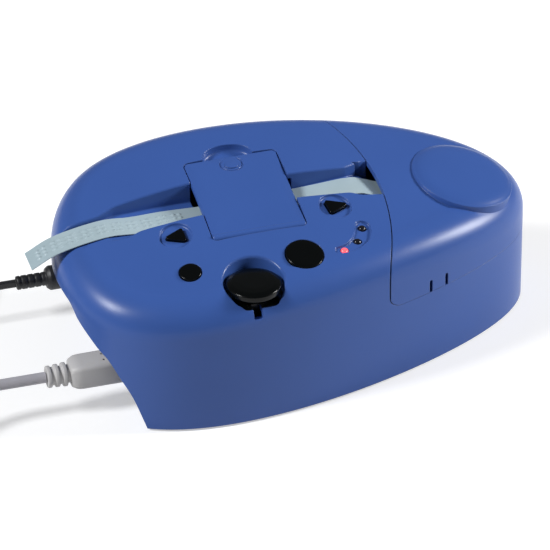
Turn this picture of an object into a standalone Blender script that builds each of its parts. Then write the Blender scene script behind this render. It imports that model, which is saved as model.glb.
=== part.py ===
"""Braille labeler with its USB cord and mains adapter.

Lengths are in metres and Z is up. The feet stand on z = 0, X runs along the tape and Y to the back.
"""

import math

import bmesh
import bpy
import numpy as np
from mathutils import Matrix, Vector

# Common sizes
GAP = 0.0003
OVERRUN = 0.005
HIGH = 0.09
UNIT_SHARE = 1.0
MERGE_DISTANCE = 0.00001
WIDE = 0.15
ROUND_STEPS = 20
SMALL_STEPS = 10

# Housing: plan outline, crowned top, rounded shoulder
HALF_LENGTH = 0.0993
HALF_DEPTH = 0.0570
OUTLINE_SHARES = (
    (1.06, 0.156),
    (0.89, 0.716),
    (0.331, 0.93),
    (-0.349, 1.042),
    (-0.844, 0.905),
    (-1.042, 0.102),
    (-0.955, -0.791),
    (-0.4985, -1.086),
    (0.2226, -0.858),
    (0.873, -0.344),
)
SPAN_STEPS = 4
FOOT_PROUD = 0.001
CROWN_HEIGHT = 0.06995
CROWN_TILT_SHARE = 0.19
CROWN_RIDGE_X = -0.0161
CROWN_RADIUS_X = 0.3237
CROWN_RADIUS_Y = 0.2836
SHOULDER_RADIUS = 0.014
SHOULDER_DEGREES = (0, 24, 48, 69, 90)
CROWN_RING_SHARES = (0.72, 0.36)
WALL = 0.0024
UNDERCUT_X = (-0.0755, -0.080, -0.084, -0.088, -0.091, -0.096, -0.0985, -0.1093)
UNDERCUT_Z = (0.001, 0.014, 0.022, 0.0295, 0.033, 0.0405, 0.0462, 0.0500)
LINER = 0.002

# Lid over the tape bay
SEAM_X = -0.070
SEAM_Y = -0.002
SEAM_RADIUS = 0.105
SEAM_CORNER = 0.005
SEAM_LEVEL = 0.034
SEAM_GAP = 0.0004
SEAM_STEPS = 72
DOME_X = 0.072
DOME_Y = 0.0035
DOME_RIM_Z = 0.060
DOME_RADIUS = 0.021
DOME_RISE = 0.0023
DOME_DEPTH = 0.0065
DOME_EDGE = 0.0006
DOME_LEAN_SHARES = (0.224, -0.129, 1.0)
TAB_SLOT_X = (0.0457, 0.0533)
TAB_SLOT_Y = (-0.0373, -0.0339)
TAB_SLOT_WIDTH = 0.0013
TAB_SLOT_DEPTH = 0.008
TAB_SLOT_TOP = 0.0395
HINGE_X = 0.0731
HINGE_Y = 0.0459
HINGE_Z = 0.034
HINGE_LEAN_SHARES = (-0.93, 0.37)
KNUCKLE_RADIUS = 0.0026
KNUCKLE_BORE = 0.0015
KNUCKLE_LENGTH = 0.008
LID_KNUCKLE_LENGTH = 0.005
KNUCKLE_SPACE = 0.0004
KNUCKLE_REACH = 0.0042
LID_WEB_RISE = 0.0007
LID_WEB_HEIGHT = 0.0019
HINGE_PIN_RADIUS = 0.0012

# Head cover and its finger notch
COVER_X = (-0.0396, -0.0006)
COVER_Y = (-0.0210, 0.0250)
COVER_CORNER = 0.0025
COVER_GAP = 0.0004
COVER_FLOOR = 0.056
CHANNEL_BASE = 0.045
COVER_NOSE = 0.0012
COVER_TRIM_DEPTH = 0.0019
COVER_TRIM_RISE = 0.0017
COVER_AXIS_Y = -0.0192
COVER_PIN_RADIUS = 0.0007
COVER_PIN_BORE = 0.0010
COVER_PIN_LENGTH = 0.0027
COVER_BLOCK_LENGTH = 0.0032
COVER_BLOCK_DEPTH = 0.0052
COVER_BLOCK_Y = (-0.0218, -0.0166)
NOTCH_X = -0.0206
NOTCH_RADII = (0.0103, 0.0075, 0.0044)
NOTCH_RISE = 0.001

# Tape path, from the free end at the left to the roll
TAPE_Y = (-0.00485, 0.00785)
TAPE_THICKNESS = 0.0003
LABEL_X = (-0.1092, -0.0975, -0.079, -0.066, -0.053, -0.0370)
LABEL_Z = (0.0537, 0.0595, 0.0632, 0.0627, 0.0629, 0.06236)
SUPPLY_X = (-0.0360, 0.0035, 0.0236, 0.0300, 0.0357)
SUPPLY_Z = (0.0624, 0.0638, 0.0649, 0.0635, 0.0612)
CHANNEL_CLEARANCE = 0.0003
LEFT_FRONT_X = (-0.104, -0.092, -0.086, -0.080, -0.075, -0.071, -0.0655, -0.0395)
LEFT_FRONT_Y = (-0.0084, -0.0073, -0.0056, -0.0060, -0.0078, -0.0078, -0.0060, -0.0060)
LEFT_BACK_X = (-0.0395, -0.070, -0.0785, -0.104)
LEFT_BACK_Y = (0.0130, 0.0115, 0.0108, 0.0084)
LEFT_LINER_X = (-0.084, -0.0392)
LEFT_LINER_Y = (-0.0083, 0.0150)
RIGHT_FRONT_X = (-0.0010, 0.009, 0.022, 0.026, 0.042)
RIGHT_FRONT_Y = (-0.0055, -0.0055, -0.0053, -0.0070, -0.0070)
RIGHT_BACK_X = (0.042, 0.032, 0.024, -0.0010)
RIGHT_BACK_Y = (0.0129, 0.0129, 0.0094, 0.0084)
RIGHT_LINER_X = (0.0012, 0.042)
RIGHT_LINER_Y = (-0.0070, 0.0112)
FLARE_LINER_X = (0.0215, 0.042)
FLARE_LINER_Y = (-0.0090, 0.0150)
CORNER_HOLE_X = (0.0275, 0.042, 0.042)
CORNER_HOLE_Y = (0.0125, 0.0008, 0.0125)

# Cutter knob in its round recess
CUT_X = -0.0296
CUT_Y = -0.0442
CUT_RADIUS = 0.012
CUT_FLOOR = 0.0513
CUT_SLOT_X = (-0.0328, -0.0292)
CUT_SLOT_Z = 0.0475
CUT_SLOT_DEPTH = 0.0065
KNOB_X = -0.0298
KNOB_Y = -0.0450
KNOB_RADIUS = 0.01015
KNOB_UNDERSIDE = 0.0558
KNOB_EDGE_HEIGHT = 0.0020
KNOB_RISE = 0.0010
KNOB_STEM_RADIUS = 0.0030
KNOB_TIP_RADIUS = 0.0010
KNOB_SHOULDER = 0.0465
KNOB_TIP = 0.0413
ROCKER_PAD_X = (-0.0390, -0.0275)
ROCKER_PAD_Y = (-0.0475, -0.0425)
MOTOR_SHAFT_RADIUS = 0.0010
MOTOR_BORE = 0.0013
MOTOR_BORE_DEPTH = 0.005
SHAFT_END_Y = 0.0158
SHAFT_START_Y = -0.0086
KNOB_HOLE_RADIUS = 0.0034
SPRING_RADII = (0.0042, 0.0052)
SPRING_Z = (0.0516, 0.0555)

# Keys and signal lamps
SET_AT = (-0.0064, -0.0359)
SET_RADIUS = 0.0076
RESET_AT = (-0.0523, -0.0336)
RESET_RADIUS = 0.00435
KEY_PROUD = 0.0006
KEY_ROUND = 0.0005
KEY_SPACE = 0.0003
KEY_FLANGE = 0.0009
KEY_FLANGE_DEPTH = (0.0029, 0.0038)
KEY_STEM_RADIUS = 0.0010
BACK_KEY_X = (-0.0581, -0.0492, -0.0495)
BACK_KEY_Y = (-0.0137, -0.0181, -0.0107)
BACK_DISH = (-0.0528, -0.0139)
FORWARD_KEY_X = (0.0105, 0.0186, 0.0095)
FORWARD_KEY_Y = (-0.0165, -0.0122, -0.0092)
FORWARD_DISH = (0.0131, -0.0126)
DISH_RADIUS = 0.0065
DISH_DEPTH = 0.0012
TRIANGLE_CORNER = 0.0009
TRIANGLE_PROUD = 0.0002
TRIANGLE_FLANGE_RADIUS = 0.0043
LAMP_X = (0.0102, 0.0168, 0.0207)
LAMP_Y = (-0.0357, -0.0317, -0.0251)
LAMP_RADIUS = 0.0015
LAMP_SPACE = 0.0003
LAMP_PROUD = 0.0001
LAMP_ARC_X = 0.0076
LAMP_ARC_Y = -0.0224
LAMP_ARC_RADIUS = 0.0135
LAMP_ARC_DEGREES = (-88.0, -46.0, -34.0, -10.0)
LAMP_SLOT_HALF_WIDTHS = (0.0019, 0.0028, 0.0031, 0.0031)
LAMP_SLOT_DEPTH = 0.001

# Key boards under the keys
LEFT_BOARD_AT = (-0.0525, -0.0235)
LEFT_BOARD_HALF = (0.0074, 0.0160)
RIGHT_BOARD_AT = (0.0053, -0.0248)
RIGHT_BOARD_HALF = (0.0176, 0.0150)
RIGHT_BOARD_NOTCH = (-0.0040, 0.0124)
BOARD_DEPTH = 0.0115
BOARD_THICKNESS = 0.0016
SWITCH_HALF = 0.0024
SWITCH_HEIGHT = 0.0035
SWITCH_SINK = 0.0032
SWITCH_BORE = 0.0013
STEM_ENGAGED = 0.0006
POST_RADIUS = 0.0019
POST_PIN_RADIUS = 0.0009
POST_PIN_BORE = 0.0012
POST_PIN_PAST = 0.0008
LEFT_POSTS_X = (-0.0055, 0.0055)
LEFT_POSTS_Y = (0.0005, 0.0005)
RIGHT_POSTS_X = (-0.0150, 0.0155)
RIGHT_POSTS_Y = (0.0020, 0.0090)

# Base plate, feet and screws
BASE_Z = (0.001, 0.0035)
BASE_LEFT = -0.0727
BASE_SPACE = 0.0003
FOOT_RADIUS = 0.0055
FOOT_TOP = 0.0019
FOOT_RECESS = 0.0022
FEET_X = (-0.058, -0.058, 0.058, 0.058)
FEET_Y = (-0.034, 0.036, -0.012, 0.028)
BOSS_SHARES = (0.18, 0.32, 0.70, 0.87)
BOSS_INSET = 0.0058
BOSS_RADIUS = 0.004
BOSS_Z = (0.0038, 0.028)
SCREW_RADIUS = 0.0015
SCREW_HEAD_RADIUS = 0.0029
SCREW_HEAD_Z = (0.0011, 0.0021)
SCREW_TIP = 0.012
SCREW_HOLE_RADIUS = 0.0018
COUNTERBORE_RADIUS = 0.0032
COUNTERBORE_TOP = 0.0024

# Connector bay at the left end
BAY_X = (-0.0754, -0.0730)
BAY_BOTTOM = 0.0013
BAY_CEILING = (0.0450, 0.0474)
BAY_LEFT = -0.0965
BAY_BEND = 0.007
USB_Y = -0.027
USB_Z = 0.0174
USB_SHELL = (0.00845, 0.00778)
DC_Y = 0.042
DC_Z = 0.018
DC_BARREL_RADIUS = 0.00175
DC_RELIEF_RADIUS = 0.0058
SOCKET_BOARD_X = (-0.056, -0.0544)
SOCKET_BOARD_Y = (-0.040, 0.0475)
SOCKET_BOARD_Z = (0.0038, 0.032)
JACK_X = (-0.0727, -0.0563)
JACK_BORE_END = -0.0600
USB_JACK_SIZE = (0.0120, 0.0110)
DC_JACK_SIZE = (0.0072, 0.0090)

# Tape bay: bulkhead, bracket, reel and roll
BULKHEAD_X = (0.0240, 0.0256)
BULKHEAD_Y = (-0.033, 0.040)
BULKHEAD_Z = (0.0038, 0.0545)
REEL_X = 0.066
REEL_Z = 0.030
ROLL_RADIUS = 0.0205
ROLL_BORE = 0.0129
HUB_RADIUS = 0.0125
HUB_BORE = 0.0043
FLANGE_RADIUS = 0.0215
FLANGE_Y = (0.0082, 0.0094)
SPINDLE_RADIUS = 0.004
SPINDLE_HEAD_RADIUS = 0.006
SPINDLE_HEAD = 0.0012
BRACKET_X = (0.052, 0.080)
BRACKET_Y = (0.0110, 0.0130)
BRACKET_Z = (0.0038, 0.043)
BRACKET_FOOT = (0.0130, 0.0230)
BRACKET_FOOT_TOP = 0.0058

# Mechanism frame, feed, drive and embossing head
FRAME_X = (-0.0330, 0.0200)
FRAME_FRONT_Y = (-0.0080, -0.0065)
FRAME_BACK_Y = (0.0095, 0.0110)
FRAME_Z = (0.0038, 0.0604)
FRAME_FLOOR_TOP = 0.0053
FRAME_FRONT_STEP_X = 0.0002
FRAME_FRONT_STEP_Z = 0.0500
FEED_X = -0.004
FEED_Z = 0.05705
FEED_RADIUS = 0.006
FEED_Y = (-0.004, 0.007)
FEED_SHAFT_RADIUS = 0.0015
FEED_BORE = 0.0018
PINCH_RADIUS = 0.0009
PINCH_Z = 0.0649
PINCH_PIN_RADIUS = 0.0005
PINCH_PIN_BORE = 0.0008
PINCH_EAR_Y = (-0.0068, -0.0054)
PINCH_EAR_BACK_Y = (0.0084, 0.0098)
PINCH_EAR_X = (-0.0062, -0.0018)
PINCH_EAR_Z = 0.0636
PINCH_EAR_TOPS = (0.0672, 0.0700)
PINCH_ROLLER_Y = (-0.0051, 0.0081)
ANVIL_Y = (-0.0052, 0.0084)
GEAR_MODULE = 0.0008
FEED_TEETH = 16
IDLER_TEETH = 12
PINION_TEETH = 8
GEAR_SPACE = 0.0002
TOOTH_SHARES = (0.24, 0.13)
GEAR_Y = (0.0125, 0.0155)
IDLER_PIN_RADIUS = 0.0012
IDLER_BORE = 0.0015
DRIVE_LEAN_SHARES = (0.53, -0.848)
MOTOR_RADIUS = 0.011
MOTOR_Y = (-0.0062, 0.0092)
DIE_X = (-0.0270, -0.0130)
DIE_Y = (-0.0062, 0.0092)
DIE_Z = (0.0500, 0.0619)
COMB_PLATE_Z = (0.0473, 0.0488)
COMB_PLATE_INSET = 0.0020
COMB_STEM_RADIUS = 0.0015
COMB_STEM_END = 0.0385
COMB_PIN_RADIUS = 0.0006
COMB_PIN_BORE = 0.00095
COMB_PIN_TOP = 0.0609
COMB_PINS_X = (-0.0225, -0.0175)
COMB_PINS_Y = (-0.0025, 0.0015, 0.0055)
SOLENOID_X = (-0.0280, -0.0120)
SOLENOID_Y = (-0.0062, 0.0092)
SOLENOID_Z = (0.0056, 0.0470)
SOLENOID_BORE = 0.0018
SOLENOID_BORE_DEPTH = 0.011
ANVIL_BOTTOM = 0.0640

# Rocker that lifts the cutter blade when the knob is pressed
ROCKER_X = (-0.0390, -0.0345)
ROCKER_Y = (-0.0475, 0.0030)
ROCKER_Z = (0.0385, 0.0410)
ROCKER_HUB_RADIUS = 0.0030
ROCKER_PIN_RADIUS = 0.0012
ROCKER_PIN_BORE = 0.0015
ROCKER_PIVOT_Y = -0.022
ROCKER_PIVOT_Z = 0.0385
EAR_LEFT_X = (-0.0413, -0.0393)
EAR_RIGHT_X = (-0.0342, -0.0322)
EAR_Y = (-0.0262, -0.0178)
EAR_TOP = 0.0428
BLADE_X = (-0.0367, -0.0363)
BLADE_Y = (-0.0052, 0.0122)
BLADE_TOP = 0.0616
BLADE_FOOT_Y = (-0.0020, 0.0025)
BLADE_WAIST = 0.050

# Main board
MAIN_BOARD_X = (-0.0280, 0.0180)
MAIN_BOARD_Y = (-0.0400, -0.0125)
MAIN_BOARD_Z = (0.0090, 0.0106)
CHIP_X = (-0.0200, -0.0060)
CHIP_Y = (-0.0310, -0.0200)
CHIP_TOP = 0.0124
POWER_CHIP_X = (0.0020, 0.0120)
STANDOFF_RADIUS = 0.0025
STANDOFFS_X = (-0.0250, 0.0150)
STANDOFFS_Y = (-0.0360, -0.0160)

# USB plug, cord, coil and far plug
USB_OVERMOULD_X = (-0.1010, -0.0764)
USB_OVERMOULD = (0.0120, 0.0105)
USB_OVERMOULD_CORNER = 0.0016
USB_TAPER_X = -0.0965
USB_TAPER_SHARE = 0.79
USB_SHELL_TIP = -0.0640
USB_SLEEVE_END = -0.1102
USB_RIB_RADIUS = 0.00485
USB_RIB_NECK = 0.0038
USB_RIB_COUNT = 3
USB_CORD_RADIUS = 0.00225
USB_FREE_ROUTE = (
    (-0.1106, -0.0270, 0.0174),
    (-0.1200, -0.0270, 0.0174),
    (-0.1310, -0.0270, 0.01736),
    (-0.1410, -0.0283, 0.0173),
    (-0.1505, -0.0322, 0.01725),
    (-0.1587, -0.0384, 0.0172),
)
USB_COIL_AT = (-0.1823, -0.0154)
USB_COIL_RADII = (0.0255, 0.0329)
USB_COIL_PITCH = 0.00495
USB_COIL_LAYER_TURNS = 1.5
USB_COIL_TURNS = 6.125
USB_COIL_BASE = 0.00235
USB_COIL_START_DEGREES = 45.0
USB_TAIL = (
    (-0.1885, -0.0489, 0.00235),
    (-0.1945, -0.0489, 0.0029),
    (-0.2000, -0.0489, 0.0043),
    (-0.2050, -0.0489, 0.0043),
)
HOST_PLUG_X = (-0.2460, -0.2053)
HOST_BODY_END = -0.2340
HOST_BODY = (0.0150, 0.0080)
HOST_SHELL = (0.0120, 0.0045)
HOST_PLUG_Y = -0.0489
HOST_PLUG_Z = 0.0043
HOST_CORNER = 0.0015

# Low-voltage plug, cord, coil and mains adapter
DC_HEAD_RADIUS = 0.0051
DC_HEAD_X = (-0.0940, -0.0764)
DC_HEAD_NECK_X = -0.0925
DC_BOOT_RADIUS = 0.0029
DC_BOOT_END = -0.1063
DC_BARREL_TIP = -0.0660
DC_CORD_RADIUS = 0.0018
DC_FREE_ROUTE = (
    (-0.1066, 0.0420, 0.0180),
    (-0.1150, 0.0420, 0.0180),
    (-0.1240, 0.0420, 0.0174),
    (-0.1330, 0.0420, 0.0158),
    (-0.1415, 0.0420, 0.0145),
    (-0.1496, 0.0420, 0.01415),
)
DC_COIL_AT = (-0.150, 0.0696)
DC_COIL_RADII = (0.0195, 0.0276)
DC_COIL_PITCH = 0.00405
DC_COIL_LAYER_TURNS = 2.0
DC_COIL_TURNS = 8.0
DC_COIL_BASE = 0.0020
DC_COIL_START_DEGREES = -90.0
DC_TAIL = (
    (-0.1590, 0.0420, 0.0020),
    (-0.1690, 0.0420, 0.0032),
    (-0.1795, 0.0420, 0.0050),
    (-0.1840, 0.0420, 0.0050),
)
COIL_LOOP_POINTS = 24
COIL_STEP_TURNS = 0.5
FREE_CORD_STEP = 0.0090
ADAPTER_X = (-0.2290, -0.1843)
ADAPTER_Y = (0.0270, 0.0570)
ADAPTER_Z = (0.0003, 0.0260)
ADAPTER_CORNER = 0.003
BLADE_PRONG_END = -0.2460
PRONG_Y = (0.0357, 0.0483)
PRONG_HALF = (0.00075, 0.0032)

# Colours: base colour, metallic share, roughness share
BLUE = ((0.075, 0.135, 0.400), 0.0, 0.38)
DARK_BLUE = ((0.050, 0.090, 0.280), 0.0, 0.45)
BLACK = ((0.010, 0.011, 0.013), 0.0, 0.40)
GREY = ((0.420, 0.410, 0.400), 0.0, 0.50)
DARK_GREY = ((0.060, 0.062, 0.066), 0.0, 0.55)
IVORY = ((0.640, 0.690, 0.640), 0.0, 0.45)
WHITE = ((0.780, 0.780, 0.760), 0.0, 0.50)
RUBBER = ((0.020, 0.020, 0.020), 0.0, 0.80)
STEEL = ((0.560, 0.570, 0.580), 1.0, 0.32)
BRASS = ((0.700, 0.520, 0.240), 1.0, 0.30)
BOARD_GREEN = ((0.020, 0.150, 0.060), 0.0, 0.45)
RED = ((0.850, 0.060, 0.070), 0.0, 0.25)
SMOKE = ((0.030, 0.030, 0.035), 0.0, 0.20)


def clear_scene():
    """Empties the startup scene."""
    for found in list(bpy.data.objects):
        bpy.data.objects.remove(found, do_unlink=True)


clear_scene()
ROOT = bpy.context.scene.collection
LABELER = bpy.data.collections.new("braille_labeler")
TOOLS = bpy.data.collections.new("braille_labeler_cutters")
ROOT.children.link(LABELER)
ROOT.children.link(TOOLS)


def add(name, mesh, tool=False):
    """One object, among the parts or among the hidden cutters."""
    shape = bpy.data.objects.new(name, mesh)
    if tool:
        TOOLS.objects.link(shape)
        shape.hide_render = True
        shape.display_type = "WIRE"
    else:
        LABELER.objects.link(shape)
    return shape


def add_bmesh(name, built, tool=False):
    mesh = bpy.data.meshes.new(name)
    built.to_mesh(mesh)
    built.free()
    return add(name, mesh, tool)


def box(name, xs, ys, zs, tool=False):
    """A block between two x, two y and two z values."""
    middle = Vector((sum(xs), sum(ys), sum(zs))) / 2
    size = (xs[1] - xs[0], ys[1] - ys[0], zs[1] - zs[0], UNIT_SHARE)
    built = bmesh.new()
    frame = Matrix.Translation(middle) @ Matrix.Diagonal(size)
    bmesh.ops.create_cube(built, size=UNIT_SHARE, matrix=frame)
    return add_bmesh(name, built, tool)


def along(start, end):
    """A frame at the start whose Z axis points to the end."""
    direction = Vector(end) - Vector(start)
    turn = direction.to_track_quat("Z", "Y").to_matrix().to_4x4()
    return Matrix.Translation(Vector(start)) @ turn


def rod(name, start, end, radius, tool=False, steps=SMALL_STEPS, end_radius=None):
    """A round bar between two points."""
    length = (Vector(end) - Vector(start)).length
    built = bmesh.new()
    frame = along(start, end) @ Matrix.Translation((0.0, 0.0, length / 2))
    far = radius if end_radius is None else end_radius
    bmesh.ops.create_cone(
        built, cap_ends=True, segments=steps, radius1=radius, radius2=far, depth=length, matrix=frame
    )
    return add_bmesh(name, built, tool)


def turned(name, profile, frame, tool=False, steps=ROUND_STEPS, ring=False):
    """A profile of (radius, height) points turned about Z. It runs down the outer side."""
    mesh = bpy.data.meshes.new(name)
    points = [(radius, 0.0, height) for radius, height in profile]
    edges = [(i, i + 1) for i in range(len(points) - 1)]
    if ring:
        edges.append((len(points) - 1, 0))
    mesh.from_pydata(points, edges, [])
    shape = add(name, mesh, tool)
    shape.matrix_world = frame
    screw = shape.modifiers.new("turned", "SCREW")
    screw.axis = "Z"
    screw.steps = steps
    screw.render_steps = steps
    screw.use_merge_vertices = True
    screw.merge_threshold = MERGE_DISTANCE
    return shape


def curve_mesh(name, curve):
    """The mesh of a curve, with its seams closed and faces out."""
    helper = bpy.data.objects.new(name + "_curve", curve)
    ROOT.objects.link(helper)
    mesh = bpy.data.meshes.new_from_object(helper)
    bpy.data.objects.remove(helper, do_unlink=True)
    bpy.data.curves.remove(curve)
    mesh.name = name
    built = bmesh.new()
    built.from_mesh(mesh)
    bmesh.ops.remove_doubles(built, verts=built.verts, dist=MERGE_DISTANCE)
    bmesh.ops.recalc_face_normals(built, faces=built.faces)
    built.to_mesh(mesh)
    built.free()
    return mesh


def prism(name, outline, low, high, frame=None, tool=False):
    """A flat outline extruded between two heights of its frame."""
    curve = bpy.data.curves.new(name, "CURVE")
    curve.dimensions = "2D"
    curve.fill_mode = "BOTH"
    curve.extrude = (high - low) / 2
    spline = curve.splines.new("POLY")
    spline.points.add(len(outline) - 1)
    for point, place in zip(spline.points, outline):
        point.co = (place[0], place[1], 0.0, UNIT_SHARE)
    spline.use_cyclic_u = True
    mesh = curve_mesh(name, curve)
    mesh.transform(Matrix.Translation((0.0, 0.0, (high + low) / 2)))
    if frame is not None:
        mesh.transform(frame)
    return add(name, mesh, tool)


def side_prism(name, xs, zs, ys, tool=False):
    """An outline in X and Z extruded along Y."""
    frame = Matrix(((1, 0, 0, 0), (0, 0, -1, 0), (0, 1, 0, 0), (0, 0, 0, 1)))
    return prism(name, list(zip(xs, zs)), -ys[1], -ys[0], frame, tool)


def tube(name, points, radius, resolution, tool=False):
    """A round cord through the given points."""
    curve = bpy.data.curves.new(name, "CURVE")
    curve.dimensions = "3D"
    curve.bevel_depth = radius
    curve.bevel_resolution = resolution
    curve.use_fill_caps = True
    spline = curve.splines.new("POLY")
    spline.points.add(len(points) - 1)
    for point, place in zip(spline.points, points):
        point.co = (place[0], place[1], place[2], UNIT_SHARE)
    return add(name, curve_mesh(name, curve), tool)


def loft(name, rings, tool=False, tip=None):
    """A closed body through rings of equal count, listed upwards, each counter-clockwise from above."""
    built = bmesh.new()
    levels = [[built.verts.new(point) for point in ring] for ring in rings]
    count = len(levels[0])
    for lower, upper in zip(levels, levels[1:]):
        for i in range(count):
            j = (i + 1) % count
            built.faces.new((lower[i], lower[j], upper[j]))
            built.faces.new((lower[i], upper[j], upper[i]))
    built.faces.new(tuple(reversed(levels[0])))
    if tip is None:
        built.faces.new(tuple(levels[-1]))
    else:
        top = built.verts.new(tip)
        for i in range(count):
            built.faces.new((levels[-1][i], levels[-1][(i + 1) % count], top))
    caps = [face for face in built.faces if len(face.verts) > 4]
    bmesh.ops.triangulate(built, faces=caps, ngon_method="BEAUTY")
    return add_bmesh(name, built, tool)


def cut(target, tool, operation="DIFFERENCE"):
    """Cuts the tool from the target, or joins or intersects the two."""
    modifier = target.modifiers.new(operation.lower() + "_" + tool.name, "BOOLEAN")
    modifier.operation = operation
    modifier.solver = "EXACT"
    modifier.object = tool
    return target


def join(target, *tools):
    for tool in tools:
        cut(target, tool, "UNION")
    return target


def gather(name, shapes):
    """Several separate cutters as one object."""
    built = bmesh.new()
    for shape in shapes:
        shape.data.transform(shape.matrix_world)
        built.from_mesh(shape.data)
        bpy.data.objects.remove(shape, do_unlink=True)
    return add_bmesh(name, built, True)


def pivot(shape, point):
    """Moves the origin to a point on the piece's joint axis, without moving the piece."""
    shape.data.transform(Matrix.Translation(-Vector(point)))
    shape.location = point
    return shape


def colour(shape, kind):
    """The piece's own Principled material."""
    material = bpy.data.materials.new(shape.name + "_surface")
    material.use_nodes = True
    surface = material.node_tree.nodes["Principled BSDF"]
    surface.inputs["Base Color"].default_value = (*kind[0], UNIT_SHARE)
    surface.inputs["Metallic"].default_value = kind[1]
    surface.inputs["Roughness"].default_value = kind[2]
    material.diffuse_color = (*kind[0], UNIT_SHARE)
    shape.data.materials.clear()
    shape.data.materials.append(material)
    return shape


def ring_points(middle, radius, steps, start=0.0, end=360.0):
    """Points round a circle, or round part of one with both ends."""
    whole = end - start == 360.0
    count = steps if whole else steps - 1
    angles = [math.radians(start + (end - start) * i / count) for i in range(steps)]
    return [(middle[0] + radius * math.cos(a), middle[1] + radius * math.sin(a)) for a in angles]


def rounded(corners, radius, outset=0.0, steps=2):
    """A convex counter-clockwise outline with rounded corners, grown outwards by the outset."""
    points = []
    count = len(corners)
    for i in range(count):
        before = Vector(corners[i - 1])
        here = Vector(corners[i])
        after = Vector(corners[(i + 1) % count])
        arriving = (here - before).normalized()
        leaving = (after - here).normalized()
        first = Vector((arriving.y, -arriving.x))
        last = Vector((leaving.y, -leaving.x))
        middle = (first + last).normalized()
        centre = here - middle * (radius / middle.dot(first))
        turn = math.acos(max(-1.0, min(1.0, first.dot(last))))
        base = math.atan2(first.y, first.x)
        for k in range(steps + 1):
            a = base + turn * k / steps
            place = centre + Vector((math.cos(a), math.sin(a))) * (radius + outset)
            points.append((place.x, place.y))
    return points


def rectangle(xs, ys, radius, outset=0.0, steps=2):
    corners = ((xs[0], ys[0]), (xs[1], ys[0]), (xs[1], ys[1]), (xs[0], ys[1]))
    return rounded(corners, radius, outset, steps)


def outline_points():
    """The plan outline, a closed curve through the cage, counter-clockwise, and its inward normals."""
    cage = np.array(OUTLINE_SHARES) * (HALF_LENGTH, HALF_DEPTH)
    t = np.arange(SPAN_STEPS) / SPAN_STEPS
    weights = np.stack(
        [(1 - t) ** 3, 3 * t**3 - 6 * t**2 + 4, -3 * t**3 + 3 * t**2 + 3 * t + 1, t**3], 1
    ) / 6
    count = len(cage)
    spans = [weights @ cage[[i - 1, i, (i + 1) % count, (i + 2) % count]] for i in range(count)]
    points = np.concatenate(spans)
    along_edge = np.roll(points, -1, 0) - np.roll(points, 1, 0)
    along_edge /= np.linalg.norm(along_edge, axis=1)[:, None]
    return points, np.stack([-along_edge[:, 1], along_edge[:, 0]], 1)


OUTLINE, INWARD = outline_points()
MIDDLE = OUTLINE.mean(0)


def crown(x, y):
    """Height of the housing's top, before its shoulder rounds off."""
    across = y**2 / (2 * CROWN_RADIUS_Y)
    lengthwise = (x - CROWN_RIDGE_X) ** 2 / (2 * CROWN_RADIUS_X)
    return CROWN_HEIGHT + CROWN_TILT_SHARE * y - across - lengthwise


def seat(x, y, lean=None):
    """A frame on the crown whose Z axis is the surface normal there, or the normal at the lean point."""
    lean_x, lean_y = lean or (x, y)
    slope_x = -(lean_x - CROWN_RIDGE_X) / CROWN_RADIUS_X
    slope_y = CROWN_TILT_SHARE - lean_y / CROWN_RADIUS_Y
    up = Vector((-slope_x, -slope_y, 1.0)).normalized()
    right = Vector((1.0, 0.0, slope_x)).normalized()
    back = up.cross(right).normalized()
    frame = Matrix((right, back, up)).transposed().to_4x4()
    return Matrix.Translation((x, y, crown(x, y))) @ frame


def skin(name, inset, tool=True):
    """The housing's closed outer body, or the same body smaller by the inset."""
    edge = OUTLINE + INWARD * SHOULDER_RADIUS
    top = crown(edge[:, 0], edge[:, 1])
    foot = FOOT_PROUD - (OVERRUN if inset else 0.0)
    start = OUTLINE + INWARD * inset
    rings = [np.column_stack([start, np.full(len(start), foot)])]
    bend = SHOULDER_RADIUS - inset
    for degrees in SHOULDER_DEGREES:
        angle = math.radians(degrees)
        plan = OUTLINE + INWARD * (SHOULDER_RADIUS - bend * math.cos(angle))
        height = top - SHOULDER_RADIUS + bend * math.sin(angle)
        rings.append(np.column_stack([plan, height]))
    for share in CROWN_RING_SHARES:
        plan = MIDDLE + (edge - MIDDLE) * share
        rings.append(np.column_stack([plan, crown(plan[:, 0], plan[:, 1]) - inset]))
    tip = (MIDDLE[0], MIDDLE[1], crown(MIDDLE[0], MIDDLE[1]) - inset)
    return loft(name, rings, tool, tip)


def pocket(name, outline, depth, rise=OVERRUN):
    """A cutter with upright sides whose floor follows the crown."""
    plan = np.array(outline)
    height = crown(plan[:, 0], plan[:, 1])
    rings = [np.column_stack([plan, height - depth]), np.column_stack([plan, height + rise])]
    return loft(name, rings, True)


def seam_body(name, space, tool=True):
    """The turned region that belongs to the lid."""
    corner = SEAM_CORNER - space
    centre = SEAM_RADIUS + SEAM_CORNER
    level = SEAM_LEVEL + SEAM_CORNER
    profile = [(SEAM_RADIUS + space, HIGH), (SEAM_RADIUS + WIDE, HIGH)]
    profile.append((SEAM_RADIUS + WIDE, SEAM_LEVEL + space))
    for degrees in (270, 247.5, 225, 202.5, 180):
        angle = math.radians(degrees)
        profile.append((centre + corner * math.cos(angle), level + corner * math.sin(angle)))
    frame = Matrix.Translation((SEAM_X, SEAM_Y, 0.0))
    return turned(name, profile, frame, tool, SEAM_STEPS, True)


def left_floor(drop):
    """The left channel's floor line below the tape, as X and Z lists."""
    below = TAPE_THICKNESS / 2 + CHANNEL_CLEARANCE + drop
    return list(LABEL_X), [z - below for z in LABEL_Z]


def right_floor(drop):
    below = TAPE_THICKNESS / 2 + CHANNEL_CLEARANCE + drop
    return list(SUPPLY_X), [z - below for z in SUPPLY_Z]


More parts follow.
